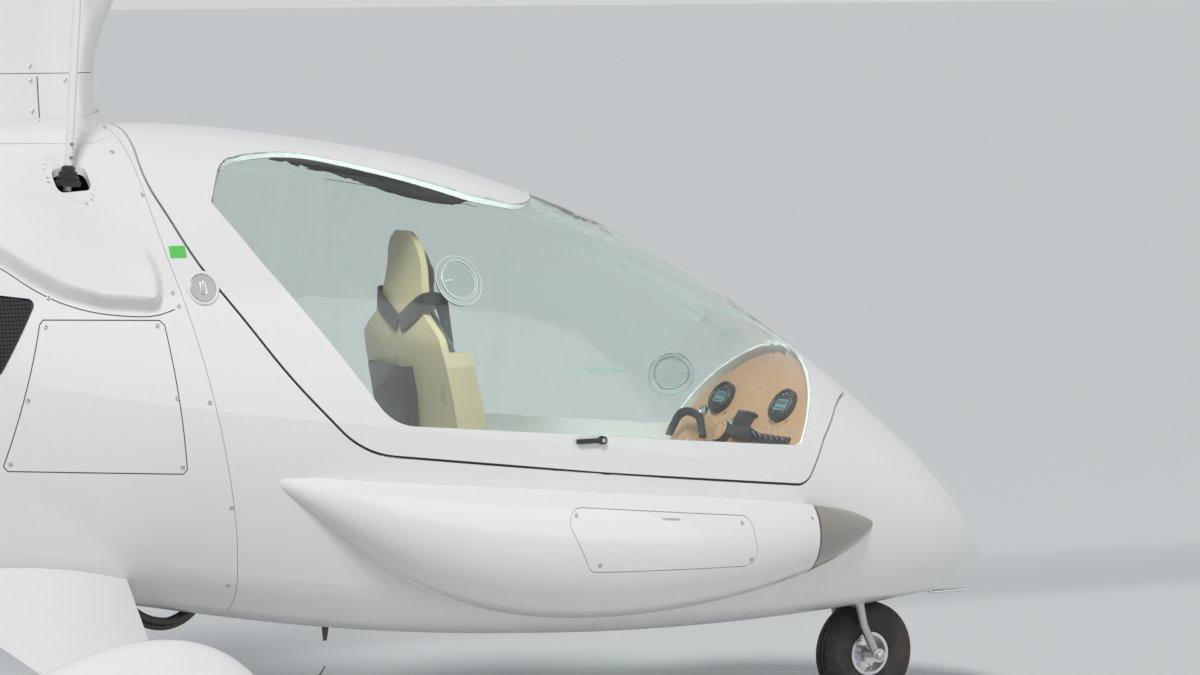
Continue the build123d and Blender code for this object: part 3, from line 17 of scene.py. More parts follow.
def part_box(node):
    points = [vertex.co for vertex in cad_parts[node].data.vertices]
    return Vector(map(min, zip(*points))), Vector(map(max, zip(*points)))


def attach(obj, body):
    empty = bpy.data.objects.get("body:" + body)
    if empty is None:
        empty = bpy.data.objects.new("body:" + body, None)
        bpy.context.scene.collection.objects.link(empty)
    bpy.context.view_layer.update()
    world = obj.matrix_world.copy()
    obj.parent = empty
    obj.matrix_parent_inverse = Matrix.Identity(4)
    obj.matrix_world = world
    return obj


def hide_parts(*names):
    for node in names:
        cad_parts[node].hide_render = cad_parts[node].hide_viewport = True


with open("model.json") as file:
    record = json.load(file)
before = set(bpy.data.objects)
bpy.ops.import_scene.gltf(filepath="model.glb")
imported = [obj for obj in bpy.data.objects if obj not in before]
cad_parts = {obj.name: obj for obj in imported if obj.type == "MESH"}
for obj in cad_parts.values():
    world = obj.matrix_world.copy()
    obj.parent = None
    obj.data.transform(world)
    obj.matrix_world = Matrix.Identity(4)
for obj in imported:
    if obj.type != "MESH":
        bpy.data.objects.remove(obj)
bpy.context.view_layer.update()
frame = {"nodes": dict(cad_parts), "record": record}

nodes = frame["nodes"]

# %% [markdown]
# ## Camera
# The machine was photographed from its right side, a little ahead of the wing line of sight, with a long
# lens. A long lens keeps the nose and the tail of the cabin nearly the same size, so the focal length
# matters as much as the place.

# %% Camera
CAMERA_AT = (-4.891, -10.785, 1.95)
CAMERA_TURN = (radians(85.425), 0, radians(-30.8))
LENS_MM = 157.56

bpy.ops.object.camera_add(location=CAMERA_AT, rotation=CAMERA_TURN)
camera = bpy.context.object
camera.name = "camera"
camera.data.lens = LENS_MM
camera.data.sensor_width = 36.0
camera.data.clip_end = 200
bpy.context.scene.camera = camera
print("camera", tuple(camera.location))

# %% [markdown]
# ## Floor, world and lamps
# A pale floor and a pale world keep reflections plain. A soft sun stands high on the right and a little
# behind, as the shadows in the picture fall under the nose, and one weak lamp fills the near side. A sun
# lights the floor evenly up to the horizon, where an area lamp would leave it dark.

# %% Floor and light
FLOOR_HALF = 90.0
PALE = (0.64, 0.655, 0.66)


def deselect():
    """Nothing stays selected, so the next operator acts on the new piece alone."""
    if bpy.context.mode != "OBJECT":
        bpy.ops.object.mode_set(mode="OBJECT")
    bpy.ops.object.select_all(action="DESELECT")


def pick(piece):
    """The piece alone is selected and active."""
    deselect()
    piece.select_set(True)
    bpy.context.view_layer.objects.active = piece
    return piece


def new_object(name, data):
    piece = bpy.data.objects.new(name, data)
    bpy.context.collection.objects.link(piece)
    return pick(piece)


def plain_material(name, color, roughness):
    material = bpy.data.materials.new(name)
    material.use_nodes = True
    shader = material.node_tree.nodes["Principled BSDF"]
    shader.inputs["Base Color"].default_value = (*color, 1)
    shader.inputs["Roughness"].default_value = roughness
    return material


deselect()
bpy.ops.mesh.primitive_plane_add(size=2 * FLOOR_HALF, location=(0, 0, -0.002))
floor = bpy.context.object
floor.name = "floor"
floor_finish = plain_material("floor_pale", (0.66, 0.67, 0.67), 0.9)
floor.data.materials.append(floor_finish)

world = bpy.data.worlds.new("studio")
bpy.context.scene.world = world
world.use_nodes = True
sky = world.node_tree.nodes["Background"]
sky.inputs["Color"].default_value = (0.78, 0.82, 0.86, 1)
sky.inputs["Strength"].default_value = 0.46


def wire(tree, *rows):
    """Links, as rows of from node, its output, to node, its input."""
    for giver, out, taker, into in rows:
        tree.links.new(giver.outputs[out], taker.inputs[into])


def show_pale(tree, shader, target):
    """Camera, mirror and glass rays meet one plain pale colour; light on the machine stays as it is."""
    path = tree.nodes.new("ShaderNodeLightPath")
    plain = tree.nodes.new("ShaderNodeBackground")
    plain.inputs["Color"].default_value = (*PALE, 1)
    mix = tree.nodes.new("ShaderNodeMixShader")
    sight = path.outputs["Is Camera Ray"]
    for ray in ("Is Transmission Ray", "Is Glossy Ray"):
        either = tree.nodes.new("ShaderNodeMath")
        either.operation = "MAXIMUM"
        tree.links.new(sight, either.inputs[0])
        wire(tree, (path, ray, either, 1))
        sight = either.outputs[0]
    tree.links.new(sight, mix.inputs["Fac"])
    wire(tree, (shader, 0, mix, 1), (plain, 0, mix, 2))
    tree.links.new(mix.outputs[0], target)


show_pale(world.node_tree, sky, world.node_tree.nodes["World Output"].inputs["Surface"])

# columns: name, kind, place, aimed at, size in metres or degrees, strength
LAMPS = [
    ("key", "SUN", (-3.2, -5.0, 7.5), (0.8, 0.0, 0.8), radians(12), 1.9),
    ("fill", "AREA", (5.0, -8.0, 2.6), (1.0, 0.0, 0.9), 6.0, 100.0),
]
for name, kind, place, aim, size, strength in LAMPS:
    bpy.ops.object.light_add(type=kind, location=place)
    lamp = bpy.context.object
    lamp.name = f"lamp_{name}"
    lamp.rotation_euler = (Vector(aim) - Vector(place)).to_track_quat("-Z", "Y").to_euler()
    if kind == "SUN":
        lamp.data.angle = size
    else:
        lamp.data.size = size
    lamp.data.energy = strength
bpy.context.scene.view_settings.view_transform = "Standard"
print("lamps", len(LAMPS))

# %% [markdown]
# ## Shared surface effects
# Gloss paint, plastic, cast metal and rubber differ mainly in how their colour drifts, how dust gathers
# low down, and how fine their surface is. Each effect is a node group that gives out a
# colour, a mask or a height, and each material places it with its own values.

# %% Node groups
def new_group(name, inputs, outputs):
    """A shader node group. Its inputs are rows of name and default: a number, a vector or a colour."""
    group = bpy.data.node_groups.new(name, "ShaderNodeTree")
    kinds = {3: "NodeSocketVector", 4: "NodeSocketColor"}
    for socket, default in inputs:
        kind = kinds[len(default)] if isinstance(default, tuple) else "NodeSocketFloat"
        item = group.interface.new_socket(socket, in_out="INPUT", socket_type=kind)
        item.default_value = default
    for socket, kind in outputs:
        group.interface.new_socket(socket, in_out="OUTPUT", socket_type=kind)
    return group, group.nodes.new("NodeGroupInput"), group.nodes.new("NodeGroupOutput")


def add_node(tree, kind, **values):
    """A node with its properties, and its unlinked sockets set by name."""
    node = tree.nodes.new(kind)
    for key, value in values.items():
        if hasattr(node, key):
            setattr(node, key, value)
        else:
            node.inputs[key.replace("_", " ")].default_value = value
    return node


def group_drift():
    """Soft change of colour over the surface, and a roughness mask."""
    group, given, out = new_group(
        "colour_drift",
        [
            ("Colour", (1, 1, 1, 1)), ("Second", (0.9, 0.9, 0.9, 1)), ("Scale", 3.0), ("Amount", 0.3),
            ("Rough Low", 0.3), ("Rough High", 0.4),
        ],
        [("Colour", "NodeSocketColor"), ("Roughness", "NodeSocketFloat")],
    )
    place = add_node(group, "ShaderNodeTexCoord")
    noise = add_node(group, "ShaderNodeTexNoise", Detail=4.0, Roughness=0.55)
    level = add_node(group, "ShaderNodeMath", operation="MULTIPLY")
    mix = add_node(group, "ShaderNodeMix", data_type="RGBA")
    rough = add_node(group, "ShaderNodeMapRange", From_Min=0.3, From_Max=0.7)
    wire(
        group, (place, "Object", noise, "Vector"), (given, "Scale", noise, "Scale"),
        (noise, "Fac", level, 0), (given, "Amount", level, 1), (level, 0, mix, "Factor"),
        (given, "Colour", mix, "A"), (given, "Second", mix, "B"), (mix, "Result", out, "Colour"),
        (noise, "Fac", rough, "Value"), (given, "Rough Low", rough, "To Min"),
        (given, "Rough High", rough, "To Max"), (rough, "Result", out, "Roughness"),
    )
    return group


def group_dust():
    """Dust colour laid in patches, more of it low down."""
    group, given, out = new_group(
        "dust",
        [
            ("Colour", (1, 1, 1, 1)), ("Dust", (0.45, 0.38, 0.28, 1)), ("Low", 0.0), ("High", 0.6),
            ("Amount", 0.3),
        ],
        [("Colour", "NodeSocketColor"), ("Mask", "NodeSocketFloat")],
    )
    place = add_node(group, "ShaderNodeTexCoord")
    split = add_node(group, "ShaderNodeSeparateXYZ")
    noise = add_node(group, "ShaderNodeTexNoise", Scale=14.0, Detail=6.0, Roughness=0.65)
    height = add_node(group, "ShaderNodeMapRange", To_Min=1.0, To_Max=0.0)
    patch = add_node(group, "ShaderNodeMapRange", From_Min=0.38, From_Max=0.66)
    both = add_node(group, "ShaderNodeMath", operation="MULTIPLY")
    level = add_node(group, "ShaderNodeMath", operation="MULTIPLY")
    mix = add_node(group, "ShaderNodeMix", data_type="RGBA")
    wire(
        group, (place, "Object", split, 0), (place, "Object", noise, "Vector"),
        (split, "Z", height, "Value"), (given, "Low", height, "From Min"),
        (given, "High", height, "From Max"), (noise, "Fac", patch, "Value"), (height, "Result", both, 0),
        (patch, "Result", both, 1), (both, 0, level, 0), (given, "Amount", level, 1),
        (level, 0, mix, "Factor"), (given, "Colour", mix, "A"), (given, "Dust", mix, "B"),
        (mix, "Result", out, "Colour"), (level, 0, out, "Mask"),
    )
    return group


def group_grain():
    """Fine height for cast, moulded, brushed or sprayed surfaces. Stretch draws the grain out along X."""
    group, given, out = new_group(
        "grain",
        [("Scale", 300.0), ("Detail", 3.0), ("Stretch", (1, 1, 1))],
        [("Height", "NodeSocketFloat")],
    )
    place = add_node(group, "ShaderNodeTexCoord")
    stretch = add_node(group, "ShaderNodeVectorMath", operation="MULTIPLY")
    noise = add_node(group, "ShaderNodeTexNoise", Roughness=0.6)
    wire(
        group, (place, "Object", stretch, 0), (given, "Stretch", stretch, 1),
        (stretch, "Vector", noise, "Vector"), (given, "Scale", noise, "Scale"),
        (given, "Detail", noise, "Detail"), (noise, "Fac", out, "Height"),
    )
    return group


def group_weave():
    """Crossed threads: a height and a mask of the gaps between them."""
    group, given, out = new_group(
        "weave",
        [("Scale", 500.0)],
        [("Height", "NodeSocketFloat"), ("Gap", "NodeSocketFloat")],
    )
    place = add_node(group, "ShaderNodeTexCoord")
    across = add_node(group, "ShaderNodeTexWave", bands_direction="Y", Distortion=1.5, Detail=1.0)
    along = add_node(group, "ShaderNodeTexWave", bands_direction="DIAGONAL", Distortion=1.5, Detail=1.0)
    cross = add_node(group, "ShaderNodeMath", operation="MAXIMUM")
    gap = add_node(group, "ShaderNodeMapRange", From_Min=0.15, From_Max=0.55, To_Min=1.0, To_Max=0.0)
    for wave in (across, along):
        wire(group, (place, "Object", wave, "Vector"), (given, "Scale", wave, "Scale"))
    wire(
        group, (across, "Fac", cross, 0), (along, "Fac", cross, 1), (cross, 0, out, "Height"),
        (cross, 0, gap, "Value"), (gap, "Result", out, "Gap"),
    )
    return group


drift = group_drift()
dust = group_dust()
grain = group_grain()
weave = group_weave()
print("groups", [g.name for g in bpy.data.node_groups])

# %% [markdown]
# ## Materials
# One builder makes every opaque finish: colour drift under a veil of dust, with a fine bump. What makes
# paint look like paint is the clear coat over a rougher base, and what makes metal is Metallic with a
# stretched grain. The values sit in one table so that finishes can be compared.

# %% Finishes
def finish(
    name, color, second, rough, metallic=0.0, coat=0.0, drift_scale=3.0, drift_amount=0.4,
    dust_amount=0.25, dust_top=0.6, grain_scale=300.0, bump=0.05, stretch=(1, 1, 1), cloth=False,
):
    material = bpy.data.materials.new(name)
    material.use_nodes = True
    tree = material.node_tree
    shader = tree.nodes["Principled BSDF"]
    colour = add_node(
        tree, "ShaderNodeGroup", node_tree=drift, Colour=(*color, 1), Second=(*second, 1),
        Scale=drift_scale, Amount=drift_amount, Rough_Low=rough[0], Rough_High=rough[1],
    )
    dirt = add_node(tree, "ShaderNodeGroup", node_tree=dust, Amount=dust_amount, High=dust_top)
    surface = add_node(tree, "ShaderNodeGroup", node_tree=weave if cloth else grain, Scale=grain_scale)
    if not cloth:
        surface.inputs["Stretch"].default_value = stretch
    relief = add_node(tree, "ShaderNodeBump", Strength=bump, Distance=0.002)
    wire(
        tree, (colour, "Colour", dirt, "Colour"), (dirt, "Colour", shader, "Base Color"),
        (colour, "Roughness", shader, "Roughness"), (surface, "Height", relief, "Height"),
        (relief, "Normal", shader, "Normal"),
    )
    shader.inputs["Metallic"].default_value = metallic
    shader.inputs["Coat Weight"].default_value = coat
    shader.inputs["Coat Roughness"].default_value = 0.04
    if cloth:
        shader.inputs["Sheen Weight"].default_value = 0.25
    return material


def clear(name, color, roughness=0.0, ior=1.45):
    """Clear plastic. Rays from lamps pass straight through it, as they do through a thin pane."""
    material = bpy.data.materials.new(name)
    material.use_nodes = True
    tree = material.node_tree
    shader = tree.nodes["Principled BSDF"]
    shader.inputs["Base Color"].default_value = (*color, 1)
    shader.inputs["Transmission Weight"].default_value = 1.0
    shader.inputs["IOR"].default_value = ior
    shader.inputs["Specular IOR Level"].default_value = 0.35
    haze = add_node(
        tree, "ShaderNodeGroup", node_tree=drift, Rough_Low=roughness, Rough_High=roughness + 0.012
    )
    wire(tree, (haze, "Roughness", shader, "Roughness"))
    path = add_node(tree, "ShaderNodeLightPath")
    open_pane = add_node(tree, "ShaderNodeBsdfTransparent", Color=(*color, 1))
    mix = tree.nodes.new("ShaderNodeMixShader")
    wire(tree, (path, "Is Shadow Ray", mix, "Fac"), (shader, 0, mix, 1), (open_pane, 0, mix, 2))
    tree.links.new(mix.outputs[0], tree.nodes["Material Output"].inputs["Surface"])
    return material


FINISHES = {
    "shell_white": finish(
        "white_paint", (0.80, 0.80, 0.785), (0.72, 0.72, 0.70), (0.16, 0.24), coat=0.6,
        drift_scale=1.6, drift_amount=0.35, dust_amount=0.18, dust_top=0.5, grain_scale=60, bump=0.02,
    ),
    "blade_white": finish(
        "blade_paint", (0.76, 0.77, 0.77), (0.66, 0.67, 0.67), (0.25, 0.38), coat=0.3, grain_scale=90,
    ),
    "canopy_glass": clear("canopy_acrylic", (0.90, 0.965, 0.94)),
    "clear_plastic": clear("vent_acrylic", (0.93, 0.95, 0.95), 0.05),
    "smoked_lens": finish(
        "smoked_lens", (0.26, 0.235, 0.20), (0.20, 0.18, 0.155), (0.12, 0.2), coat=1.0, grain_scale=40,
    ),
    "lamp": finish("lamp_chrome", (0.85, 0.85, 0.85), (0.7, 0.7, 0.72), (0.08, 0.14), metallic=1.0),
    "cabin_grey": finish("cabin_grey", (0.34, 0.34, 0.33), (0.26, 0.26, 0.25), (0.5, 0.7), bump=0.2),
    "seat_shell": finish(
        "seat_composite", (0.52, 0.43, 0.26), (0.44, 0.36, 0.21), (0.25, 0.4), coat=0.35, dust_amount=0,
        drift_scale=5.0, grain_scale=120, bump=0.04,
    ),
    "seat_fabric": finish(
        "seat_cloth", (0.035, 0.035, 0.04), (0.06, 0.06, 0.065), (0.75, 0.9), dust_amount=0,
        grain_scale=420, bump=0.35, cloth=True,
    ),
    "panel_tan": finish(
        "panel_tan", (0.50, 0.28, 0.16), (0.42, 0.23, 0.13), (0.35, 0.5), coat=0.2, dust_amount=0,
        grain_scale=260, bump=0.08,
    ),
    "black_plastic": finish(
        "black_plastic", (0.022, 0.022, 0.024), (0.045, 0.045, 0.048), (0.38, 0.55), grain_scale=420,
        bump=0.15,
    ),
    "engine_metal": finish(
        "engine_casting", (0.30, 0.30, 0.30), (0.20, 0.20, 0.20), (0.45, 0.65), metallic=0.8,
        grain_scale=200, bump=0.4,
    ),
    "steel": finish(
        "steel_bar", (0.55, 0.56, 0.57), (0.42, 0.42, 0.43), (0.28, 0.42), metallic=1.0,
        stretch=(1, 1, 0.05), bump=0.08,
    ),
    "aluminium": finish(
        "aluminium", (0.72, 0.73, 0.74), (0.58, 0.59, 0.60), (0.24, 0.38), metallic=1.0,
        stretch=(0.1, 1, 1), bump=0.06,
    ),
    "prop_black": finish(
        "prop_black", (0.018, 0.018, 0.02), (0.03, 0.03, 0.032), (0.18, 0.3), coat=0.5, bump=0.03,
    ),
    "tyre": finish(
        "tyre_rubber", (0.020, 0.020, 0.020), (0.035, 0.034, 0.032), (0.65, 0.85), dust_amount=0.22,
        dust_top=0.3, grain_scale=240, bump=0.4,
    ),
    "hose_rubber": finish("hose_rubber", (0.018, 0.018, 0.018), (0.035, 0.035, 0.035), (0.45, 0.6)),
}

slot_of = {part["node"]: part["material_slot"] for part in frame["record"]["subparts"]}
for name, part in nodes.items():
    material = FINISHES[slot_of[name]]
    if not part.material_slots:
        part.data.materials.append(material)
    for place in part.material_slots:
        place.material = material
print("finishes", len(FINISHES))

# %% [markdown]
# ## Tools for fittings on the skin
# A screw, a cap or a joint line sits on a curved skin, so its place is given in the side view and the skin
# itself says how far out it lies and which way it faces. A ray shot sideways into the solids gives both.

# %% Skin tools
def tree_of(*names):
    """A search tree over the solids of some nodes."""
    points, faces = [], []
    for name in names:
        mesh = nodes[name].data
        start = len(points)
        points += [v.co.copy() for v in mesh.vertices]
        faces += [[start + i for i in p.vertices] for p in mesh.polygons]
    return BVHTree.FromPolygons(points, faces)


SKIN_TREE = tree_of("fuselage_shell", "engine_cowl", "canopy_frame", "canopy_glass")
POD_TREE = tree_of("side_pods", "pod_hatches", "headlight_lenses")


def on_side(x, z, side=-1, tree=SKIN_TREE):
    """Point and outward direction of the skin at a place in the side view. Side -1 is the right."""
    point, normal, _, _ = tree.ray_cast(Vector((x, side * 2.0, z)), Vector((0, -side, 0)))
    if point is None or point.y * side < 0.02:
        point, normal, _, _ = tree.find_nearest(Vector((x, side * 0.45, z)))
    return point, normal


def curve_at(a, b, c, d, t):
    """Point at a share t between b and c, on the curve that also heeds a and d."""
    bend = (2 * a - 5 * b + 4 * c - d) * t**2 + (3 * b - a - 3 * c + d) * t**3
    return 0.5 * (2 * b + (c - a) * t + bend)


def smooth_line(points, step=0.02):
    """Points along a smooth curve through the given ones."""
    line = []
    ends = [points[0]] + list(points) + [points[-1]]
    for a, b, c, d in zip(ends, ends[1:], ends[2:], ends[3:]):
        a, b, c, d = Vector(a), Vector(b), Vector(c), Vector(d)
        count = max(2, int((c - b).length / step))
        for i in range(count):
            t = i / count
            line.append(curve_at(a, b, c, d, t))
    line.append(Vector(points[-1]))
    return line


def straight_line(points, step=0.02):
    """Points along straight runs."""
    line = []
    for a, b in zip(points, points[1:]):
        a, b = Vector(a), Vector(b)
        count = max(1, int((b - a).length / step))
        line += [a.lerp(b, i / count) for i in range(count)]
    line.append(Vector(points[-1]))
    return line


def settle(piece, name, finish_of, body, smooth=True):
    """The finished piece: its place goes into its mesh, it gets its finish and it rides on its body.
    A finish given by name is taken from the table."""
    pick(piece)
    bpy.ops.object.transform_apply(location=True, rotation=True, scale=True)
    if smooth:
        bpy.ops.object.shade_smooth_by_angle(angle=radians(35))
    piece.name = name
    piece.data.name = name
    piece.data.materials.clear()
    by_name = isinstance(finish_of, str)
    piece.data.materials.append(FINISHES[finish_of] if by_name else finish_of)
    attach(piece, body)
    return piece


def mesh_piece(name, points, faces, finish_of, body, smooth=True):
    mesh = bpy.data.meshes.new(name)
    mesh.from_pydata([tuple(p) for p in points], [], faces)
    mesh.validate()
    return settle(new_object(name, mesh), name, finish_of, body, smooth)


def modify(piece, kind, **values):
    """Adds one modifier and applies it."""
    pick(piece)
    modifier = piece.modifiers.new(kind.lower(), kind)
    for key, value in values.items():
        setattr(modifier, key, value)
    bpy.ops.object.modifier_apply(modifier=modifier.name)


print("skin test", on_side(0.0, 1.0))

# %% [markdown]
# ## Joint lines on the skin
# Where two glass-fibre panels meet there is a narrow dark gap. The large gaps are cut in the solids. The
# small ones, round the access panel, the raised cowl panel and the lens caps, are thin ribbons laid on the
# skin: cheap, always exactly on the surface, and dark like a gap in shade.

# %% Joint lines
GAP_DARK = finish(
    "joint_gap", (0.03, 0.03, 0.032), (0.06, 0.058, 0.055), (0.6, 0.8), dust_amount=0.2, grain_scale=200
)


def ribbon(name, spots, body, width, lift, material):
    """A flat strip along points with their outward directions."""
    points, faces = [], []
    for i, (p, n) in enumerate(spots):
        before, after = spots[max(i - 1, 0)][0], spots[min(i + 1, len(spots) - 1)][0]
        across = n.cross(after - before).normalized() * width / 2
        points += [p + n * lift - across, p + n * lift + across]
        if i:
            k = 2 * i
            faces.append((k - 2, k - 1, k + 1, k))
    return mesh_piece(name, points, faces, material, body)


def joint_line(name, line, body, width=0.0022, lift=0.0005, side=-1, tree=SKIN_TREE, material=GAP_DARK):
    """A ribbon on the skin along side view points."""
    spots = [on_side(p[0], p[1], side, tree) for p in line]
    return ribbon(name, spots, body, width, lift, material)


ACCESS_PANEL = [(-0.085, 1.074), (0.192, 1.063), (0.203, 1.052), (0.252, 0.730), (0.243, 0.720)]
ACCESS_PANEL += [(-0.165, 0.745), (-0.176, 0.756), (-0.094, 1.064), (-0.085, 1.074)]
RAISED_LOW = [(0.232, 1.085), (0.169, 1.072), (0.051, 1.083), (-0.039, 1.109), (-0.104, 1.143)]
RAISED_LOW += [(-0.172, 1.190), (-0.260, 1.232), (-0.420, 1.262), (-0.640, 1.270)]
for side, hand in ((-1, "right"), (1, "left")):
    joint_line(f"access_gap_{hand}", straight_line(ACCESS_PANEL), "airframe", side=side)
    joint_line(f"raised_gap_{hand}", smooth_line(RAISED_LOW), "airframe", side=side)

# %% [markdown]
# ## The raised cowl panel
# Above the access panel the cowl swells out over the engine's cylinders, with a sharp step at its front
# edge and a soft blend at the roof. It could be sculpted into the cowl, but a separate patch keeps the
# cowl's solid plain: a grid is laid on the skin and each point is lifted by a height that is zero at the
# lower seam, rises quickly, and fades out towards the roof.

# %% Raised panel
RAISE = 0.034
ROOF_EDGE = 1.424
CREASE = [(1.080, 0.198), (1.120, 0.212), (1.160, 0.214), (1.205, 0.207), (1.239, 0.187), (1.275, 0.171)]
CREASE += [(1.319, 0.147), (1.376, 0.105), (1.424, 0.087)]
ROD_HOLE = (0.045, 1.376, 0.056)


def ease(t):
    t = min(1.0, max(0.0, t))
    return t * t * (3 - 2 * t)


def between(rows, at):
    """Value at a place in rows of (place, value), straight between the rows."""
    rows = sorted(rows)
    if at <= rows[0][0]:
        return rows[0][1]
    for (a, p), (b, q) in zip(rows, rows[1:]):
        if at <= b:
            return p + (q - p) * (at - a) / (b - a)
    return rows[-1][1]


def rise_at(x, z):
    """How far the raised panel stands off the skin at a place in the side view."""
    behind = between(CREASE, z) - x
    above = z - between(RAISED_LOW, x) - 0.008
    steep = (1 - ease((z - 1.09) / 0.17)) * ease(behind / 0.034)
    front = 1 - (1 - steep) * (1 - ease(behind / 0.30))
    return RAISE * front * ease(above / 0.030) * ease((ROOF_EDGE - z) / 0.12) * ease((x + 0.66) / 0.3)


def raised_panel(name, side):
    columns, rows = 70, 44
    points, faces = [], []
    for i in range(columns + 1):
        for j in range(rows + 1):
            level = (j / rows) ** 1.4
            front = between(CREASE, 1.080 + level * (ROOF_EDGE - 1.080))
            x = front + (-0.64 - front) * (i / columns) ** 1.5
            foot = between(RAISED_LOW, x) + 0.008
            z = foot + (ROOF_EDGE - foot) * level
            spot, normal = on_side(x, z, side)
            points.append(spot + normal * (0.0004 + rise_at(x, z)))
            hole = ((x - ROD_HOLE[0]) ** 2 + (z - ROD_HOLE[1]) ** 2) ** 0.5 < ROD_HOLE[2]
            if i and j and not hole:
                a = (i - 1) * (rows + 1) + j - 1
                quad = (a, a + rows + 1, a + rows + 2, a + 1)
                faces.append(quad if side < 0 else quad[::-1])
    return mesh_piece(name, points, faces, "shell_white", "airframe")


for side, hand in ((-1, "right"), (1, "left")):
    raised_panel(f"raised_panel_{hand}", side)
print("raised panels 2")

# %% [markdown]
# ## Screws
# The panels are held by small countersunk screws with a washer. One screw is modelled, a short bevelled
# disc with a sunk centre, and then copied to every place, turned so that its axis follows the skin.

# %% Screws
def screw_mesh():
    deselect()
    bpy.ops.mesh.primitive_cylinder_add(vertices=14, radius=0.0052, depth=0.0016)
    screw = bpy.context.object
    bpy.ops.object.mode_set(mode="EDIT")
    edit = bmesh.from_edit_mesh(screw.data)
    bpy.ops.mesh.select_all(action="DESELECT")
    bpy.ops.mesh.select_mode(type="FACE")
    for face in edit.faces:
        face.select = face.normal.z > 0.9
    bmesh.update_edit_mesh(screw.data)
    bpy.ops.mesh.inset(thickness=0.0012)
    bpy.ops.transform.translate(value=(0, 0, 0.0005))
    bpy.ops.mesh.inset(thickness=0.0022)
    bpy.ops.transform.translate(value=(0, 0, -0.0009))
    bpy.ops.object.mode_set(mode="OBJECT")
    mesh = screw.data.copy()
    bpy.data.objects.remove(screw)
    return mesh


SCREW = screw_mesh()


def scatter(name, mesh, spots, finish_of, body, scale=1.0):
    """Copies of one small mesh at points of the skin, each turned to face outwards, as one piece."""
    points, faces = [], []
    for spot, normal in spots:
        turn = Matrix.Translation(spot) @ normal.to_track_quat("Z", "Y").to_matrix().to_4x4()
        start = len(points)
        points += [turn @ (v.co * scale) for v in mesh.vertices]
        faces += [[start + i for i in p.vertices] for p in mesh.polygons]
    return mesh_piece(name, points, faces, finish_of, body)


COWL_SCREWS = [(0.212, 1.334), (0.178, 1.427), (0.302, 0.877), (0.368, 0.636), (0.233, 1.121)]
COWL_SCREWS += [(0.243, 1.092), (-0.066, 1.120), (0.395, 0.452), (-0.080, 1.058), (0.186, 1.051)]
COWL_SCREWS += [(0.241, 0.735), (-0.160, 0.760), (0.224, 0.890), (-0.128, 0.900), (-0.300, 1.262)]
COWL_SCREWS += [(-0.520, 1.285), (-0.560, 0.860), (-0.760, 0.900)]
for side, hand in ((-1, "right"), (1, "left")):
    spots = [on_side(x, z, side) for x, z in COWL_SCREWS]
    scatter(f"cowl_screws_{hand}", SCREW, spots, "steel", "airframe")
print("screws", 2 * len(COWL_SCREWS))

# %% [markdown]
# ## Turned pieces and tubes
# Tyres, rims, rings and caps are all made as on a lathe: half a cross section is drawn and spun round an
# axis. A pipe or a hose is a curve with a round bevel, turned into a mesh once its line looks right.

# %% Lathe and pipe
def place_piece(piece, centre, axis, roll=0.0):
    """Local Z of the piece turned to the axis, its origin moved to the centre."""
    turn = Vector(axis).to_track_quat("Z", "Y").to_matrix().to_4x4()
    piece.matrix_world = Matrix.Translation(centre) @ turn @ Matrix.Rotation(roll, 4, "Z")


# a profile that reaches its axis stops at this radius, because a point on the axis would be spun in place
POLE = 0.0001


def lathe(name, profile, centre, axis, finish_of, body, steps=64):
    """A closed profile of (radius, height) spun round an axis."""
    mesh = bpy.data.meshes.new(name)
    count = len(profile)
    mesh.from_pydata([(r, 0, h) for r, h in profile], [(i, (i + 1) % count) for i in range(count)], [])
    piece = new_object(name, mesh)
    bpy.ops.object.mode_set(mode="EDIT")
    bpy.ops.mesh.select_all(action="SELECT")
    bpy.ops.mesh.spin(steps=steps, angle=2 * pi, center=(0, 0, 0), axis=(0, 0, 1))
    bpy.ops.mesh.select_all(action="SELECT")
    bpy.ops.mesh.remove_doubles(threshold=1e-6)
    bpy.ops.mesh.normals_make_consistent(inside=False)
    bpy.ops.object.mode_set(mode="OBJECT")
    place_piece(piece, centre, axis)
    return settle(piece, name, finish_of, body)


def pipe(name, points, radius, finish_of, body, curved=True, resolution=6):
    """A round tube along points, closed at both ends."""
    curve = bpy.data.curves.new(name, "CURVE")
    curve.dimensions = "3D"
    curve.bevel_depth = radius
    curve.bevel_resolution = 3
    curve.use_fill_caps = True
    spline = curve.splines.new("NURBS" if curved else "POLY")
    spline.points.add(len(points) - 1)
    for spot, point in zip(spline.points, points):
        spot.co = (*point, 1)
    if curved:
        spline.order_u = 3
        spline.use_endpoint_u = True
        spline.resolution_u = resolution
    new_object(name, curve)
    bpy.ops.object.convert(target="MESH")
    return settle(bpy.context.object, name, finish_of, body)


# %% [markdown]
# ## Wheels
# The nose wheel stands in full view: a smooth tyre with a few grooves round the tread, a rib on the side
# wall and a small spun rim. The main wheels sit in their spats and show only below, with the same profile.

# %% Tyres and rims
def tyre_profile(outer, wide, rim):
    """Half-open cross section of a tyre as (radius, height), bead to bead, grooves cut in the tread."""
    wall = outer - rim
    half = [
        (rim, 0.30), (rim + 0.04 * wall, 0.37), (rim + 0.14 * wall, 0.41), (rim + 0.30 * wall, 0.465),
        (rim + 0.42 * wall, 0.49), (rim + 0.46 * wall, 0.505), (rim + 0.50 * wall, 0.49),
        (rim + 0.64 * wall, 0.47), (rim + 0.80 * wall, 0.41), (rim + 0.90 * wall, 0.33),
    ]
    tread = [(0.972, 0.245), (0.972, 0.225), (0.945, 0.22), (0.945, 0.185), (0.98, 0.18)]
    tread += [(0.998, 0.05), (0.998, 0.03), (0.955, 0.025)]
    right = [(r, h * wide) for r, h in half] + [(rim + f * wall, h * wide) for f, h in tread]
    return right + [(r, -h) for r, h in reversed(right)]


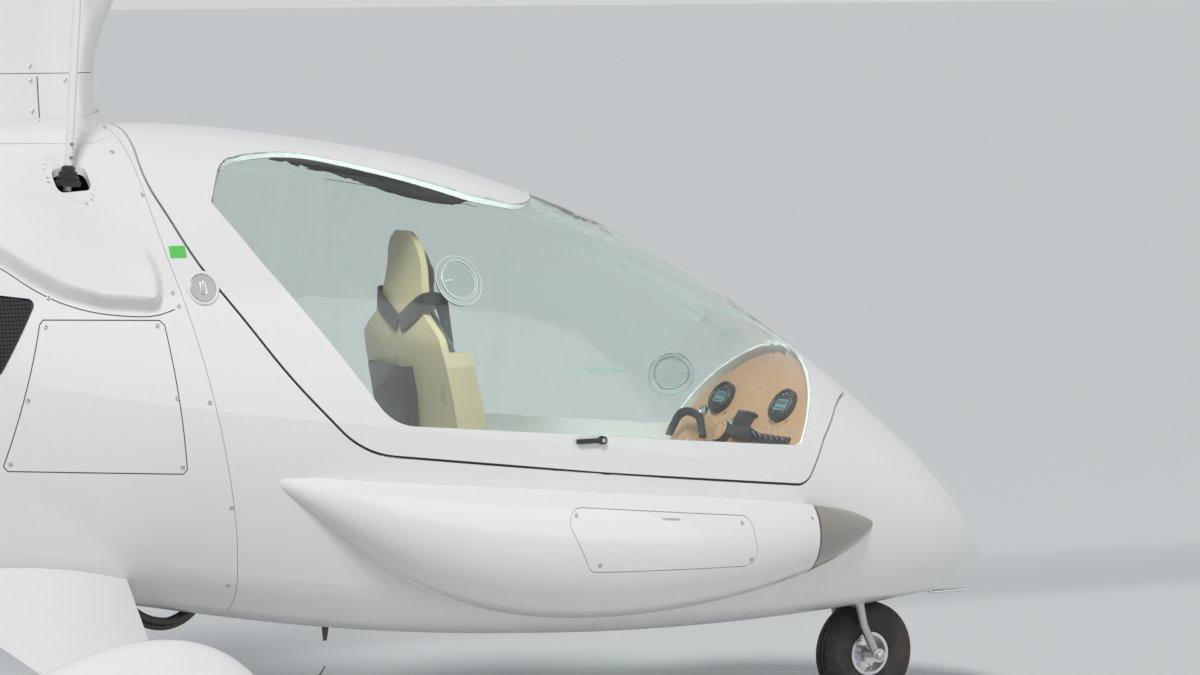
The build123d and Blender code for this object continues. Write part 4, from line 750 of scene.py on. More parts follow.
# columns: wheel, body, centre, tyre radius, width, rim radius
WHEELS = [
    ("nose", "nose_wheel", (2.300, 0.0, 0.130), 0.130, 0.082, 0.054),
    ("main_left", "main_wheel_left", (-0.060, 0.850, 0.190), 0.190, 0.100, 0.100),
    ("main_right", "main_wheel_right", (-0.060, -0.850, 0.190), 0.190, 0.100, 0.100),
]
for name, body, centre, outer, wide, rim in WHEELS:
    tyre = lathe(
        f"{name}_tyre_tread", tyre_profile(outer, wide, rim), centre, (0, 1, 0), "tyre", body, steps=72
    )
    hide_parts(f"{name}_tyre")
    bolts = []
    for step in range(6):
        turn = step * pi / 3
        for side in (1, -1):
            spot = Vector(centre) + Vector((cos(turn) * rim * 0.62, side * 0.0075, sin(turn) * rim * 0.62))
            bolts.append((spot, Vector((0, side, 0))))
    scatter(f"{name}_rim_bolts", SCREW, bolts, "steel", body, scale=1.1)
    pipe(
        f"{name}_valve",
        [Vector(centre) + Vector((rim * 0.86, s, 0)) for s in (0.004, 0.014, 0.024)],
        0.003, "black_plastic", body,
    )
print("wheels", len(WHEELS))

# %% [markdown]
# ## Fuel cap, green patch and vents
# The filler has a flush aluminium ring with a round lid and a small sunk latch. Beside it is a plain green
# patch. The two vents in the glass are clear discs that turn in a clear ring, so their edges catch the light;
# the thin pale rings on those edges and the pale tab are painted highlights in an opaque finish.

# %% Cap, patch and vents
CAP_PLACE = (0.309, 1.129)
cap_spot, cap_out = on_side(*CAP_PLACE)
CAP_SUNK = -0.002
ring = lathe(
    "fuel_cap_ring",
    [(0.0395, CAP_SUNK), (0.0395, 0.0022), (0.0375, 0.0042), (0.0340, 0.0040), (0.0322, 0.0016),
     (0.0322, CAP_SUNK)],
    cap_spot, cap_out, "shell_white", "airframe",
)
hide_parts("fuel_cap")
lathe(
    "fuel_cap_lid",
    [(0.0316, CAP_SUNK), (0.0316, 0.0016), (0.0304, 0.0026), (0.0100, 0.0030), (POLE, 0.0030),
     (POLE, CAP_SUNK)],
    cap_spot, cap_out, "steel", "airframe",
)
deselect()
bpy.ops.mesh.primitive_cylinder_add(vertices=28, radius=0.0065, depth=0.0035)
latch = bpy.context.object
bpy.ops.object.mode_set(mode="EDIT")
edit = bmesh.from_edit_mesh(latch.data)
for vertex in edit.verts:
    vertex.co.y += 0.0105 if vertex.co.y > 0.0001 else -0.0105
for face in edit.faces:
    face.select = face.normal.z > 0.9
bmesh.update_edit_mesh(latch.data)
bpy.ops.mesh.inset(thickness=0.0016)
bpy.ops.transform.translate(value=(0, 0, -0.0008))
bpy.ops.object.mode_set(mode="OBJECT")
place_piece(latch, cap_spot + cap_out * 0.0032, cap_out)
settle(latch, "fuel_cap_latch", "aluminium", "airframe")

PATCH_GREEN = finish(
    "green_patch", (0.10, 0.55, 0.09), (0.13, 0.62, 0.12), (0.35, 0.5), dust_amount=0.05, grain_scale=120
)


def skin_patch(name, x0, x1, z0, z1, material, body, lift=0.0007, side=-1):
    """A thin rectangle that follows the skin."""
    columns, rows = 10, 6
    points, faces = [], []
    for i in range(columns + 1):
        for j in range(rows + 1):
            spot, normal = on_side(x0 + (x1 - x0) * i / columns, z0 + (z1 - z0) * j / rows, side)
            points.append(spot + normal * lift)
            if i and j:
                a = (i - 1) * (rows + 1) + j - 1
                quad = (a, a + rows + 1, a + rows + 2, a + 1)
                faces.append(quad if side < 0 else quad[::-1])
    return mesh_piece(name, points, faces, material, body)


GREEN_PLACE = (0.243, 0.283, 1.196, 1.222)
skin_patch("green_patch", *GREEN_PLACE, PATCH_GREEN, "airframe")

# Painted highlight: a pale opaque finish that stands for the glints on the edges of clear acrylic parts.
PAINTED_EDGE_HIGHLIGHT = finish(
    "acrylic_painted_highlight", (0.80, 0.84, 0.84), (0.72, 0.77, 0.77), (0.25, 0.4), dust_amount=0, coat=0.3
)

# columns: name, place on the glass, outward direction
VENTS = [
    ("right", (0.975, -0.3095, 1.1192), (0.083, -0.905, 0.418)),
    ("left", (1.898, 0.2676, 0.8227), (0.315, 0.837, 0.446)),
]
for name, spot, out in VENTS:
    spot, out = Vector(spot), Vector(out).normalized()
    flange = lathe(
        f"vent_ring_{name}",
        [(0.0610, -0.003), (0.0615, 0.001), (0.0600, 0.0035), (0.0520, 0.0045), (0.0490, 0.0065),
         (0.0465, 0.0065), (0.0455, 0.0030), (0.0455, -0.003)],
        spot, out, "clear_plastic", "canopy",
    )
    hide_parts("canopy_vents")
    lathe(
        f"vent_disc_{name}",
        [(0.0448, 0.000), (0.0448, 0.0030), (0.0380, 0.0042), (POLE, 0.0042), (POLE, 0.000)],
        spot, out, "clear_plastic", "canopy",
    )
    # Thin pale rings on the vent edges: painted highlights where the clear acrylic catches the light.
    for k, (radius, high) in enumerate(((0.0606, 0.0030), (0.0478, 0.0066), (0.0440, 0.0040))):
        edge = [(radius + 0.0011 * cos(a), high + 0.0011 * sin(a)) for a in (pi * n / 4 for n in range(8))]
        lathe(f"vent_edge_highlight_{name}_{k}", edge, spot, out, PAINTED_EDGE_HIGHLIGHT, "canopy")
    across = out.cross(Vector((0, 0, 1))).normalized()
    tab = [spot + across * a + out * o for a, o in ((0.040, 0.006), (0.026, 0.010), (0.020, 0.007))]
    pipe(f"vent_tab_{name}", tab, 0.0022, PAINTED_EDGE_HIGHLIGHT, "canopy")
print("cap and vents done")

# %% [markdown]
# ## Intake mesh
# The cooling air goes in through a black wire mesh behind an opening in the cowl. The wires are thin strips
# that follow the recessed panel both ways; a dark plate behind them would hide that it is open.

# %% Intake mesh
MESH_TREE = tree_of("cowl_grilles")
MESH_PITCH = 0.0085
WIRE = 0.0011


def wire_strip(points, faces, line, side):
    """Adds one flat-topped wire along a line on the recessed panel."""
    run = []
    for x, z in line:
        spot, normal = on_side(x, z, side, MESH_TREE)
        if abs(spot.x - x) + abs(spot.z - z) > 0.001 or abs(spot.y) < 0.1:
            run = []
            continue
        run.append((spot, normal))
        if len(run) < 2:
            continue
        (p, n), (q, m) = run[-2], run[-1]
        across = n.cross(q - p).normalized() * WIRE
        start = len(points)
        points += [p - across, p + n * WIRE * 1.6, p + across, q - across, q + m * WIRE * 1.6, q + across]
        faces += [(start, start + 1, start + 4, start + 3), (start + 1, start + 2, start + 5, start + 4)]


def intake_mesh(name, side):
    points, faces = [], []
    low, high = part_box("cowl_grilles")
    columns = int((high[0] - low[0]) / MESH_PITCH)
    rows = int((high[2] - low[2]) / MESH_PITCH)
    for i in range(columns):
        x = low[0] + (i + 0.5) * MESH_PITCH
        wire_strip(points, faces, [(x, low[2] + (high[2] - low[2]) * k / 24) for k in range(25)], side)
    for j in range(rows):
        z = low[2] + (j + 0.5) * MESH_PITCH
        wire_strip(points, faces, [(low[0] + (high[0] - low[0]) * k / 36, z) for k in range(37)], side)
    return mesh_piece(name, points, faces, "black_plastic", "airframe")


for side, hand in ((-1, "right"), (1, "left")):
    intake_mesh(f"intake_mesh_{hand}", side)
print("intake mesh done")

# %% [markdown]
# ## Seats, cushions and belts
# Each seat is a moulded bucket with side bolsters and a narrow head, so its edges are rolled, not sharp. The
# solid gives the form, and a bevel rolls its edges. The cushion is foam in a sewn cover: its shape is
# remeshed into even cloth and blown up a little, which gives the crown and the soft corners of a real one.

# %% Seats
def copy_of(node, name):
    """A new object with its own copy of a solid's mesh, its flat faces whole again."""
    piece = new_object(name, nodes[node].data.copy())
    bpy.ops.object.mode_set(mode="EDIT")
    bpy.ops.mesh.select_all(action="SELECT")
    bpy.ops.mesh.remove_doubles(threshold=1e-5)
    bpy.ops.mesh.dissolve_limited(angle_limit=radians(1))
    bpy.ops.object.mode_set(mode="OBJECT")
    return piece


# columns: share of the height, half width, shift forwards
SEAT_FORM = [
    (0.00, 0.225, 0.000), (0.216, 0.190, 0.000), (0.387, 0.178, 0.004), (0.478, 0.184, -0.003),
    (0.595, 0.193, -0.019), (0.662, 0.188, -0.027), (0.701, 0.178, -0.026), (0.740, 0.159, -0.024),
    (0.773, 0.130, -0.019), (0.800, 0.104, -0.014), (0.845, 0.090, -0.006), (0.898, 0.082, 0.000),
    (0.950, 0.070, 0.000), (0.976, 0.056, 0.000), (1.000, 0.026, 0.000),
]
SEAT_WIDTHS = [(share, half) for share, half, _ in SEAT_FORM]
SEAT_SHIFTS = [(share, ahead) for share, _, ahead in SEAT_FORM]
SEATS = {"front": (1.075, 0.455, 1.218), "rear": (0.440, 0.505, 1.268)}
SEAT_LEAN = 0.105
SIDE_DEPTH = 0.72
CUSHION_INSET = 0.975
CUSHION_CELL = 0.011
CLOTH_FRAMES = 14
CLOTH_PRESSURE = 4.0
CLOTH_MOST = 0.012


def form_seat(piece, seat, widest=None):
    """Cuts a piece into level rings and gives each ring the width and place of the moulded form."""
    foot_x, pan, top = SEATS[seat]
    edit = bmesh.new()
    edit.from_mesh(piece.data)
    steps = 44
    for k in range(6, steps):
        z = pan + (top - pan) * k / steps
        bmesh.ops.bisect_plane(
            edit, geom=edit.verts[:] + edit.edges[:] + edit.faces[:], plane_co=(0, 0, z), plane_no=(0, 0, 1)
        )
    rings = {}
    for vertex in edit.verts:
        rings.setdefault(round(vertex.co.z, 4), []).append(vertex)
    ratios = {}
    for z, ring in rings.items():
        share = (z - pan) / (top - pan)
        wide = between(widest, share) if widest else max(abs(v.co.y) for v in ring)
        target = between(SEAT_WIDTHS, share)
        ratios[share] = wide
        keep = ease(share / 0.25)
        factor = 1 + (min(1.25, target / max(wide, 0.01)) - 1) * keep
        shift = between(SEAT_SHIFTS, share)
        back = foot_x - SEAT_LEAN * (z - pan)
        for vertex in ring:
            out = vertex.co.x - back
            if out > 0.03 and share > 0.2:
                out = 0.03 + (out - 0.03) * (1 + (SIDE_DEPTH - 1) * ease((share - 0.2) / 0.15))
            vertex.co.x = back + out + shift
            vertex.co.y *= factor
    edit.to_mesh(piece.data)
    edit.free()
    return sorted(ratios.items())


def cushion(node, name, seat, widest):
    """Foam in a sewn cover: even cloth, blown up a little."""
    piece = copy_of(node, name)
    form_seat(piece, seat, widest)
    middle = sum((v.co for v in piece.data.vertices), Vector()) / len(piece.data.vertices)
    for vertex in piece.data.vertices:
        vertex.co = middle + (vertex.co - middle) * CUSHION_INSET
    modify(piece, "REMESH", mode="VOXEL", voxel_size=CUSHION_CELL)
    modify(piece, "SMOOTH", factor=0.5, iterations=4)
    start = [v.co.copy() for v in piece.data.vertices]
    cloth = piece.modifiers.new("cloth", "CLOTH")
    cloth.settings.use_pressure = True
    cloth.settings.uniform_pressure_force = CLOTH_PRESSURE
    cloth.settings.effector_weights.gravity = 0.0
    cloth.settings.quality = 4
    cloth.point_cache.frame_end = CLOTH_FRAMES
    for frame_number in range(1, CLOTH_FRAMES + 1):
        bpy.context.scene.frame_set(frame_number)
    pick(piece)
    bpy.ops.object.modifier_apply(modifier="cloth")
    bpy.context.scene.frame_set(1)
    for vertex, old in zip(piece.data.vertices, start):
        move = vertex.co - old
        if move.length > CLOTH_MOST:
            vertex.co = old + move.normalized() * CLOTH_MOST
    modify(piece, "SUBSURF", levels=1)
    settle(piece, name, "seat_fabric", "airframe")
    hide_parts(node)
    return piece


CUSHIONS = {}
for seat in SEATS:
    name = f"{seat}_seat"
    bucket = copy_of(name, f"{name}_bucket")
    widest = form_seat(bucket, seat)
    modify(bucket, "BEVEL", width=0.007, segments=3, limit_method="ANGLE", angle_limit=radians(40))
    settle(bucket, f"{name}_bucket", "seat_shell", "airframe")
    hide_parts(name)
    CUSHIONS[seat] = cushion(f"{name}_pad", f"{name}_cushion", seat, widest)
print("cushions", [len(c.data.polygons) for c in CUSHIONS.values()])

# %% [markdown]
# The belts are flat webbing. A strap is a thin strip with rounded edges that is led over places of the seat,
# and at each place the direction of its width is given, so it can fold round an edge. Both shoulder straps
# pass round the narrow neck, meet behind it, and end in the buckle. A glossy pocket hangs on the back.

# %% Belts
BELT = finish(
    "belt_webbing", (0.016, 0.016, 0.018), (0.03, 0.03, 0.034), (0.6, 0.75), dust_amount=0,
    grain_scale=900, bump=0.3, cloth=True,
)

STRAP_WIDE = 0.045
STRAP_THICK = 0.0022


def strap(name, rows):
    """Webbing through rows of place and direction of its width."""
    points, sides = [], []
    ends = [rows[0]] + list(rows) + [rows[-1]]
    for a, b, c, d in zip(ends, ends[1:], ends[2:], ends[3:]):
        for i in range(8):
            t = i / 8
            for list_, k in ((points, 0), (sides, 1)):
                list_.append(curve_at(*(Vector(r[k]) for r in (a, b, c, d)), t))
    half = [(-0.5, -0.2), (-0.46, -0.5), (0.46, -0.5), (0.5, -0.2)]
    section = half + [(-u, -v) for u, v in half]
    verts, faces = [], []
    for i, point in enumerate(points):
        along = (points[min(i + 1, len(points) - 1)] - points[max(i - 1, 0)]).normalized()
        side = (sides[i] - along * sides[i].dot(along)).normalized()
        up = along.cross(side)
        verts += [point + side * u * STRAP_WIDE + up * v * STRAP_THICK for u, v in section]
        if i:
            for k in range(8):
                a, b = (i - 1) * 8 + k, (i - 1) * 8 + (k + 1) % 8
                faces.append((a, b, b + 8, a + 8))
    faces += [tuple(range(7, -1, -1)), tuple(range(len(verts) - 8, len(verts)))]
    mesh_piece(name, verts, faces, BELT, "airframe")


def belts(seat):
    """Shoulder straps, lap strap, buckle and rear pocket of one seat."""
    foot_x, pan, top = SEATS[seat]

    def at(share, ahead, y):
        """A point ahead of the back face of the formed seat at a share of its height."""
        z = pan + share * (top - pan)
        shift = between(SEAT_SHIFTS, share)
        return (foot_x - SEAT_LEAN * (z - pan) + shift + ahead, y, z)

    for side, hand in ((1, "left"), (-1, "right")):
        rows = [
            (at(0.715, -0.004, side * 0.004), (0, -0.35 * side, 1)),
            (at(0.745, -0.005, side * 0.050), (0, -0.35 * side, 1)),
            (at(0.778, -0.005, side * 0.098), (0, -0.25 * side, 1)),
            (at(0.790, 0.004, side * 0.121), (0, 0, 1)),
            (at(0.792, 0.018, side * 0.122), (0, 0, 1)),
            (at(0.780, 0.040, side * 0.112), (-0.2, 0.7 * side, 0.7)),
            (at(0.730, 0.064, side * 0.100), (0, side, 0.2)),
            (at(0.600, 0.072, side * 0.088), (0, side, 0)),
            (at(0.420, 0.074, side * 0.070), (0, side, 0)),
            (at(0.300, 0.082, side * 0.040), (0, side, 0.1)),
            (at(0.240, 0.106, side * 0.022), (0, side, 0.2)),
        ]
        strap(f"{seat}_shoulder_strap_{hand}", rows)
        rows = [
            (at(0.130, 0.060, side * 0.176), (0.4, 0, 1)), (at(0.170, 0.090, side * 0.165), (0.4, 0, 1)),
            (at(0.205, 0.118, side * 0.110), (0.4, 0, 1)), (at(0.215, 0.122, side * 0.030), (0.4, 0, 1)),
        ]
        strap(f"{seat}_lap_strap_{hand}", rows)
    lathe(
        f"{seat}_buckle",
        [(0.0305, 0.000), (0.0305, 0.012), (0.0270, 0.017), (0.0120, 0.019), (0.0110, 0.016), (POLE, 0.016),
         (POLE, 0.000)],
        at(0.220, 0.110, 0), (0.93, 0, 0.37), "black_plastic", "airframe", steps=32,
    )
    deselect()
    bpy.ops.mesh.primitive_cube_add(size=1)
    pocket = bpy.context.object
    pocket.scale = (0.034, 0.200, 0.190)
    bpy.ops.object.transform_apply(location=False, rotation=False, scale=True)
    bpy.ops.object.mode_set(mode="EDIT")
    edit = bmesh.from_edit_mesh(pocket.data)
    for vertex in edit.verts:
        if vertex.co.z < 0:
            vertex.co.y *= 0.82
            vertex.co.x += 0.008 if vertex.co.x < 0 else 0
    for face in edit.faces:
        face.select = face.normal.z > 0.9
    bmesh.update_edit_mesh(pocket.data)
    bpy.ops.mesh.inset(thickness=0.005)
    bpy.ops.transform.translate(value=(0, 0, -0.05))
    bpy.ops.object.mode_set(mode="OBJECT")
    modify(pocket, "BEVEL", width=0.012, segments=4, limit_method="ANGLE", angle_limit=radians(50))
    pocket.matrix_world = Matrix.Translation(at(0.47, -0.0165, 0.075)) @ Matrix.Rotation(radians(-5), 4, "Y")
    settle(pocket, f"{seat}_pocket", "prop_black", "airframe")


for seat in SEATS:
    belts(seat)
print("belts done")

# %% [markdown]
# ## Instrument panel
# Two round dials with a small screen stand proud of a tan panel. Below them are a black grip, a lever box,
# a round card in a cup and a strip of switches. All of it is placed by distances across and up the panel, so
# the parts keep their places if the panel tilts. The hood round it is white, with rolled edges.

# %% Panel
PANEL_FOOT = Vector((1.925, 0.0, 0.688))
PANEL_LEAN = radians(33)
PANEL_UP = Vector((sin(PANEL_LEAN), 0, cos(PANEL_LEAN)))
PANEL_OUT = Vector((-cos(PANEL_LEAN), 0, sin(PANEL_LEAN)))


def on_panel(right, up, out=0.0):
    return PANEL_FOOT + Vector((0, -right, 0)) + PANEL_UP * up + PANEL_OUT * out


DIAL_FACE = finish("dial_face", (0.012, 0.012, 0.014), (0.02, 0.02, 0.022), (0.4, 0.5), dust_amount=0)
DIAL_MARK = finish("dial_mark", (0.78, 0.78, 0.74), (0.7, 0.7, 0.66), (0.5, 0.6), dust_amount=0)
DIAL_SCREEN = finish(
    "dial_screen", (0.13, 0.26, 0.27), (0.10, 0.21, 0.23), (0.1, 0.2), coat=0.8, dust_amount=0
)
DIAL_RIGHT = 0.137
DIAL_UP = 0.095
DIAL_SCREW_R = 0.052
DIAL_TICK_R = 0.030
CARD_AT = (-0.051, 0.001)
CARD_OUT = 0.020
CARD_MARK_R = 0.021


def flat_marks(name, rows, material):
    """Thin bars on the panel: rows of right, up, angle, length, width, height over the panel."""
    points, faces = [], []
    for right, up, angle, long, wide, out in rows:
        along = (cos(angle), sin(angle))
        side = (-sin(angle), cos(angle))
        start = len(points)
        for a, b in ((-1, -1), (1, -1), (1, 1), (-1, 1)):
            points.append(
                on_panel(
                    right + a * along[0] * long / 2 + b * side[0] * wide / 2,
                    up + a * along[1] * long / 2 + b * side[1] * wide / 2, out,
                )
            )
        faces.append((start + 3, start + 2, start + 1, start))
    return mesh_piece(name, points, faces, material, "airframe", smooth=False)


for hand, right in (("left", -DIAL_RIGHT), ("right", DIAL_RIGHT)):
    centre = on_panel(right, DIAL_UP)
    lathe(
        f"dial_bezel_{hand}",
        [(0.0425, 0.000), (0.0425, 0.0150), (0.0405, 0.0170), (0.0370, 0.0165), (0.0345, 0.0135),
         (0.0345, 0.000)],
        centre, PANEL_OUT, "black_plastic", "airframe",
    )
    lathe(
        f"dial_face_{hand}", [(0.0350, 0.0121), (0.0350, 0.0129), (POLE, 0.0129), (POLE, 0.0121)],
        centre, PANEL_OUT, DIAL_FACE, "airframe",
    )
    flat_marks(f"dial_screen_{hand}", [(right, 0.094, 0, 0.046, 0.030, 0.0133)], DIAL_SCREEN)
    marks = [(right - 0.015 + 0.010 * k, 0.100, 0, 0.006, 0.012, 0.0136) for k in range(4)]
    marks += [(right, 0.0845, 0, 0.036, 0.003, 0.0136)]
    flat_marks(f"dial_segments_{hand}", marks, DIAL_FACE)
    ticks = []
    for step in range(0, 31, 3):
        angle = radians(225 - step * 9)
        place = (right + DIAL_TICK_R * cos(angle), DIAL_UP + DIAL_TICK_R * sin(angle))
        ticks.append((*place, angle, 0.0045, 0.0010, 0.0133))
    flat_marks(f"dial_marks_{hand}", ticks, DIAL_MARK)

rivets = [(-0.205 + 0.0273 * k, -0.034) for k in range(16)]
rivets += [(-0.059 + 0.0138 * k, 0.214) for k in range(4)]
rivets += [(-0.032, 0.135), (-0.005, 0.137), (-0.018, 0.078), (0.013, 0.076)]
rivets += [(0.105 + 0.025 * k, 0.034) for k in range(6)]
rivets += [
    (side * (DIAL_RIGHT + DIAL_SCREW_R * cos(a)), DIAL_UP + DIAL_SCREW_R * sin(a))
    for side in (1, -1) for a in (pi / 4, 3 * pi / 4, 5 * pi / 4, 7 * pi / 4)
]
spots = [(on_panel(*place), PANEL_OUT) for place in rivets]
scatter("panel_rivets", SCREW, spots, "aluminium", "airframe", scale=0.9)


def panel_box(name, right, up, wide, high, deep, bevel):
    """A small bevelled housing on the panel."""
    deselect()
    bpy.ops.mesh.primitive_cube_add(size=1)
    piece = bpy.context.object
    piece.scale = (wide, high, deep)
    bpy.ops.object.transform_apply(location=False, rotation=False, scale=True)
    modify(piece, "BEVEL", width=bevel, segments=2)
    turn = Matrix(((0, PANEL_UP.x, PANEL_OUT.x), (-1, PANEL_UP.y, PANEL_OUT.y), (0, PANEL_UP.z, PANEL_OUT.z)))
    piece.matrix_world = Matrix.Translation(on_panel(right, up, deep / 2)) @ turn.to_4x4()
    settle(piece, name, "black_plastic", "airframe")


# columns: piece, right, up, width, height, depth, bevel
PANEL_BOXES = [
    ("bar", 0.018, 0.060, 0.064, 0.009, 0.016, 0.002),
    ("lever_box", 0.020, 0.040, 0.044, 0.040, 0.030, 0.004),
    ("lower_box", 0.048, 0.004, 0.090, 0.028, 0.034, 0.004),
    ("switch_base", 0.162, 0.003, 0.145, 0.026, 0.008, 0.002),
]
SWITCHES = [0.102 + 0.024 * k for k in range(6)]
for k, right in enumerate(SWITCHES):
    PANEL_BOXES.append((f"switch_{k}", right, 0.003, 0.011, 0.016, 0.013, 0.0015))
for name, *sizes in PANEL_BOXES:
    panel_box(f"panel_{name}", *sizes)
for k, right in enumerate(SWITCHES):
    lever = [on_panel(right, up, out) for up, out in ((0.003, 0.012), (0.007, 0.020), (0.009, 0.025))]
    pipe(f"panel_toggle_{k}", lever, 0.0018, "aluminium", "airframe")
pipe(
    "panel_grip",
    [on_panel(-0.250, -0.040, 0.030), on_panel(-0.240, 0.005, 0.042), on_panel(-0.203, 0.026, 0.050),
     on_panel(-0.150, 0.024, 0.050), on_panel(-0.112, 0.012, 0.046), on_panel(-0.092, -0.030, 0.030)],
    0.0105, "hose_rubber", "airframe", resolution=10,
)
for name, right, up, radius in (("button", -0.193, 0.050, 0.017), ("collar", -0.024, 0.035, 0.019)):
    lathe(
        f"panel_{name}",
        [(radius, 0.000), (radius, 0.010), (radius * 0.92, 0.0125), (radius * 0.74, 0.0125),
         (radius * 0.68, 0.009), (POLE, 0.0095), (POLE, 0.000)],
        on_panel(right, up), PANEL_OUT, "aluminium", "airframe", steps=32,
    )
lathe(
    "panel_card", [(0.029, 0.000), (0.029, 0.0020), (0.0275, 0.0030), (POLE, 0.0030), (POLE, 0.000)],
    on_panel(*CARD_AT, CARD_OUT), PANEL_OUT, "panel_tan", "airframe", steps=40,
)
lathe(
    "panel_card_cup", [(0.0305, -0.020), (0.0305, 0.0010), (0.0290, 0.0020), (0.0290, -0.020)],
    on_panel(*CARD_AT, CARD_OUT), PANEL_OUT, "black_plastic", "airframe", steps=40,
)
marks = []
for k in range(12):
    angle = pi * k / 6
    place = (CARD_AT[0] + CARD_MARK_R * cos(angle), CARD_AT[1] + CARD_MARK_R * sin(angle))
    marks.append((*place, angle, 0.008, 0.002, 0.0235))
flat_marks("panel_card_marks", marks, DIAL_FACE)

hood = copy_of("panel_hood", "panel_coaming")
modify(hood, "BEVEL", width=0.0018, segments=2, limit_method="ANGLE", angle_limit=radians(45))
settle(hood, "panel_coaming", "shell_white", "airframe")
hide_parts("panel_hood")

# %% [markdown]
# ## Painted shade inside the roof and the engine bay
# The painted shell is white outside. The far edge of the roof looks black through the glass because the
# inside of the roof lies in shade, and a thin dark sheet with a felt-like weave paints that shade: a copy of
# the faces that look inwards, moved in by little more than a millimetre. The engine bay gets the same sheet
# of painted shade, so that the openings look deep. A rubber seal lies in the gap round the canopy, as wide as
# the gap and a little below the skin.

# %% Painted shade linings and seals
# Painted shade: a dark finish with a felt-like weave for the shaded insides of the roof and the engine bay.
SHADE_LINING_FINISH = finish(
    "painted_shade_sheet", (0.030, 0.032, 0.036), (0.045, 0.046, 0.05), (0.8, 0.95), dust_amount=0, grain_scale=700,
    bump=0.3, cloth=True,
)
SHADE_SHEET_LIFT = 0.0013
CABIN_MID_Z = 0.95


def shade_lining(node, name, body, low=0.0):
    """The faces of a solid that look at the cabin's middle line, above a height, as a dark sheet of painted
    shade.
    """
    piece = copy_of(node, name)
    edit = bmesh.new()
    edit.from_mesh(piece.data)
    outside = []
    for face in edit.faces:
        spot = face.calc_center_median()
        inwards = Vector((0, -spot.y, CABIN_MID_Z - spot.z)).normalized()
        if face.normal.dot(inwards) < 0.35 or spot.z < low:
            outside.append(face)
    bmesh.ops.delete(edit, geom=outside, context="FACES")
    for vertex in edit.verts:
        vertex.normal_update()
    places = [v.co + v.normal * SHADE_SHEET_LIFT for v in edit.verts]
    for vertex, place in zip(edit.verts, places):
        vertex.co = place
    edit.to_mesh(piece.data)
    edit.free()
    return settle(piece, name, SHADE_LINING_FINISH, body)


ROOF_SHADE_LOW = 1.16
# Dark sheets of painted shade inside the roof and inside the engine bay.
shade_lining("canopy_frame", "roof_painted_shade", "canopy", ROOF_SHADE_LOW)
shade_lining("engine_cowl", "engine_bay_painted_shade", "airframe")
SEAL_LINE = [(0.305, 1.187), (0.505, 0.926), (0.632, 0.801), (0.696, 0.757), (0.770, 0.735), (1.310, 0.668)]
SEAL_LINE += [(1.894, 0.604), (1.919, 0.608), (1.937, 0.624), (1.990, 0.706), (2.050, 0.762)]
SEAL_REACH = 0.011
SEAL_WIDE = 0.010
SEAL_SUNK = -0.007


def seal_spots(line, side):
    """Places in an open gap: half way between the skins on its two sides."""
    spots = []
    for before, at, after in zip(line, line[1:], line[2:]):
        along = (after - before).normalized()
        across = Vector((-along.y, along.x)) * SEAL_REACH
        (a, m), (b, n) = (on_side(*(at + across * k), side) for k in (-1, 1))
        spots.append(((a + b) / 2, (m + n).normalized()))
    return spots


for side, hand in ((-1, "right"), (1, "left")):
    spots = seal_spots(smooth_line(SEAL_LINE), side)
    ribbon(f"canopy_seal_{hand}", spots, "airframe", SEAL_WIDE, SEAL_SUNK, FINISHES["hose_rubber"])
print("linings and seals", 4)

# %% [markdown]
# ## Pods, latch and sliding window
# Four screws hold each hatch, with a small finger lip at its top edge. The latch lever turns on a screw.
# A pale bar in the painted highlight finish stands for the clear grip of the sliding window on the left,
# and a thin whip hangs from the belly aerial.

# %% Pods and small canopy parts
HATCH_SCREWS = [(1.196, 0.582), (1.664, 0.534), (1.692, 0.446), (1.258, 0.463)]
for side, hand in ((-1, "right"), (1, "left")):
    spots = [on_side(x, z, side, POD_TREE) for x, z in HATCH_SCREWS]
    scatter(f"hatch_screws_{hand}", SCREW, spots, "steel", "airframe")
    lip = [on_side(1.430 + 0.010 * k, 0.5625 - 0.001 * k, side, POD_TREE) for k in range(6)]
    lip = [p + n * (0.001 if k in (0, 5) else 0.0035) for k, (p, n) in enumerate(lip)]
    pipe(f"hatch_lip_{hand}", lip, 0.0032, "shell_white", "airframe")
    rim = [on_side(1.925 + 0.004 * ease(k / 30), 0.375 + 0.19 * k / 30, side, POD_TREE) for k in range(31)]
    rim = [(p.x - 0.004, p.z) for p, _ in rim if abs(p.y) > 0.2]
    joint_line(f"lens_gap_{hand}", rim, "airframe", width=0.003, side=side, tree=POD_TREE)

LATCH_TURNS_AT = (1.316, 0.742)
scatter("latch_screw", SCREW, [on_side(*LATCH_TURNS_AT, -1, tree_of("canopy_latch"))], "steel", "canopy")

# The clear window grip is drawn as a pale opaque strip: a painted highlight.
bar = [(1.645 + 0.0138 * n, 0.830) for n in range(11)]
joint_line("window_bar", bar, "canopy", width=0.013, lift=0.004, side=1, material=PAINTED_EDGE_HIGHLIGHT)
whip = [(0.790, 0.0, 0.205), (0.770, -0.012, 0.185), (0.720, -0.045, 0.172), (0.633, -0.100, 0.168)]
pipe("whip_aerial", whip, 0.0016, "black_plastic", "airframe")
print("pods done")

# %% [markdown]
# ## Mast foot, rods and rotor head
# The fairing meets the roof in a concave fillet. The control rods pass through rubber boots, and small bolts
# hold their foot. A nut with a washer stands at each end of the teeter bolt and of the nose axle.

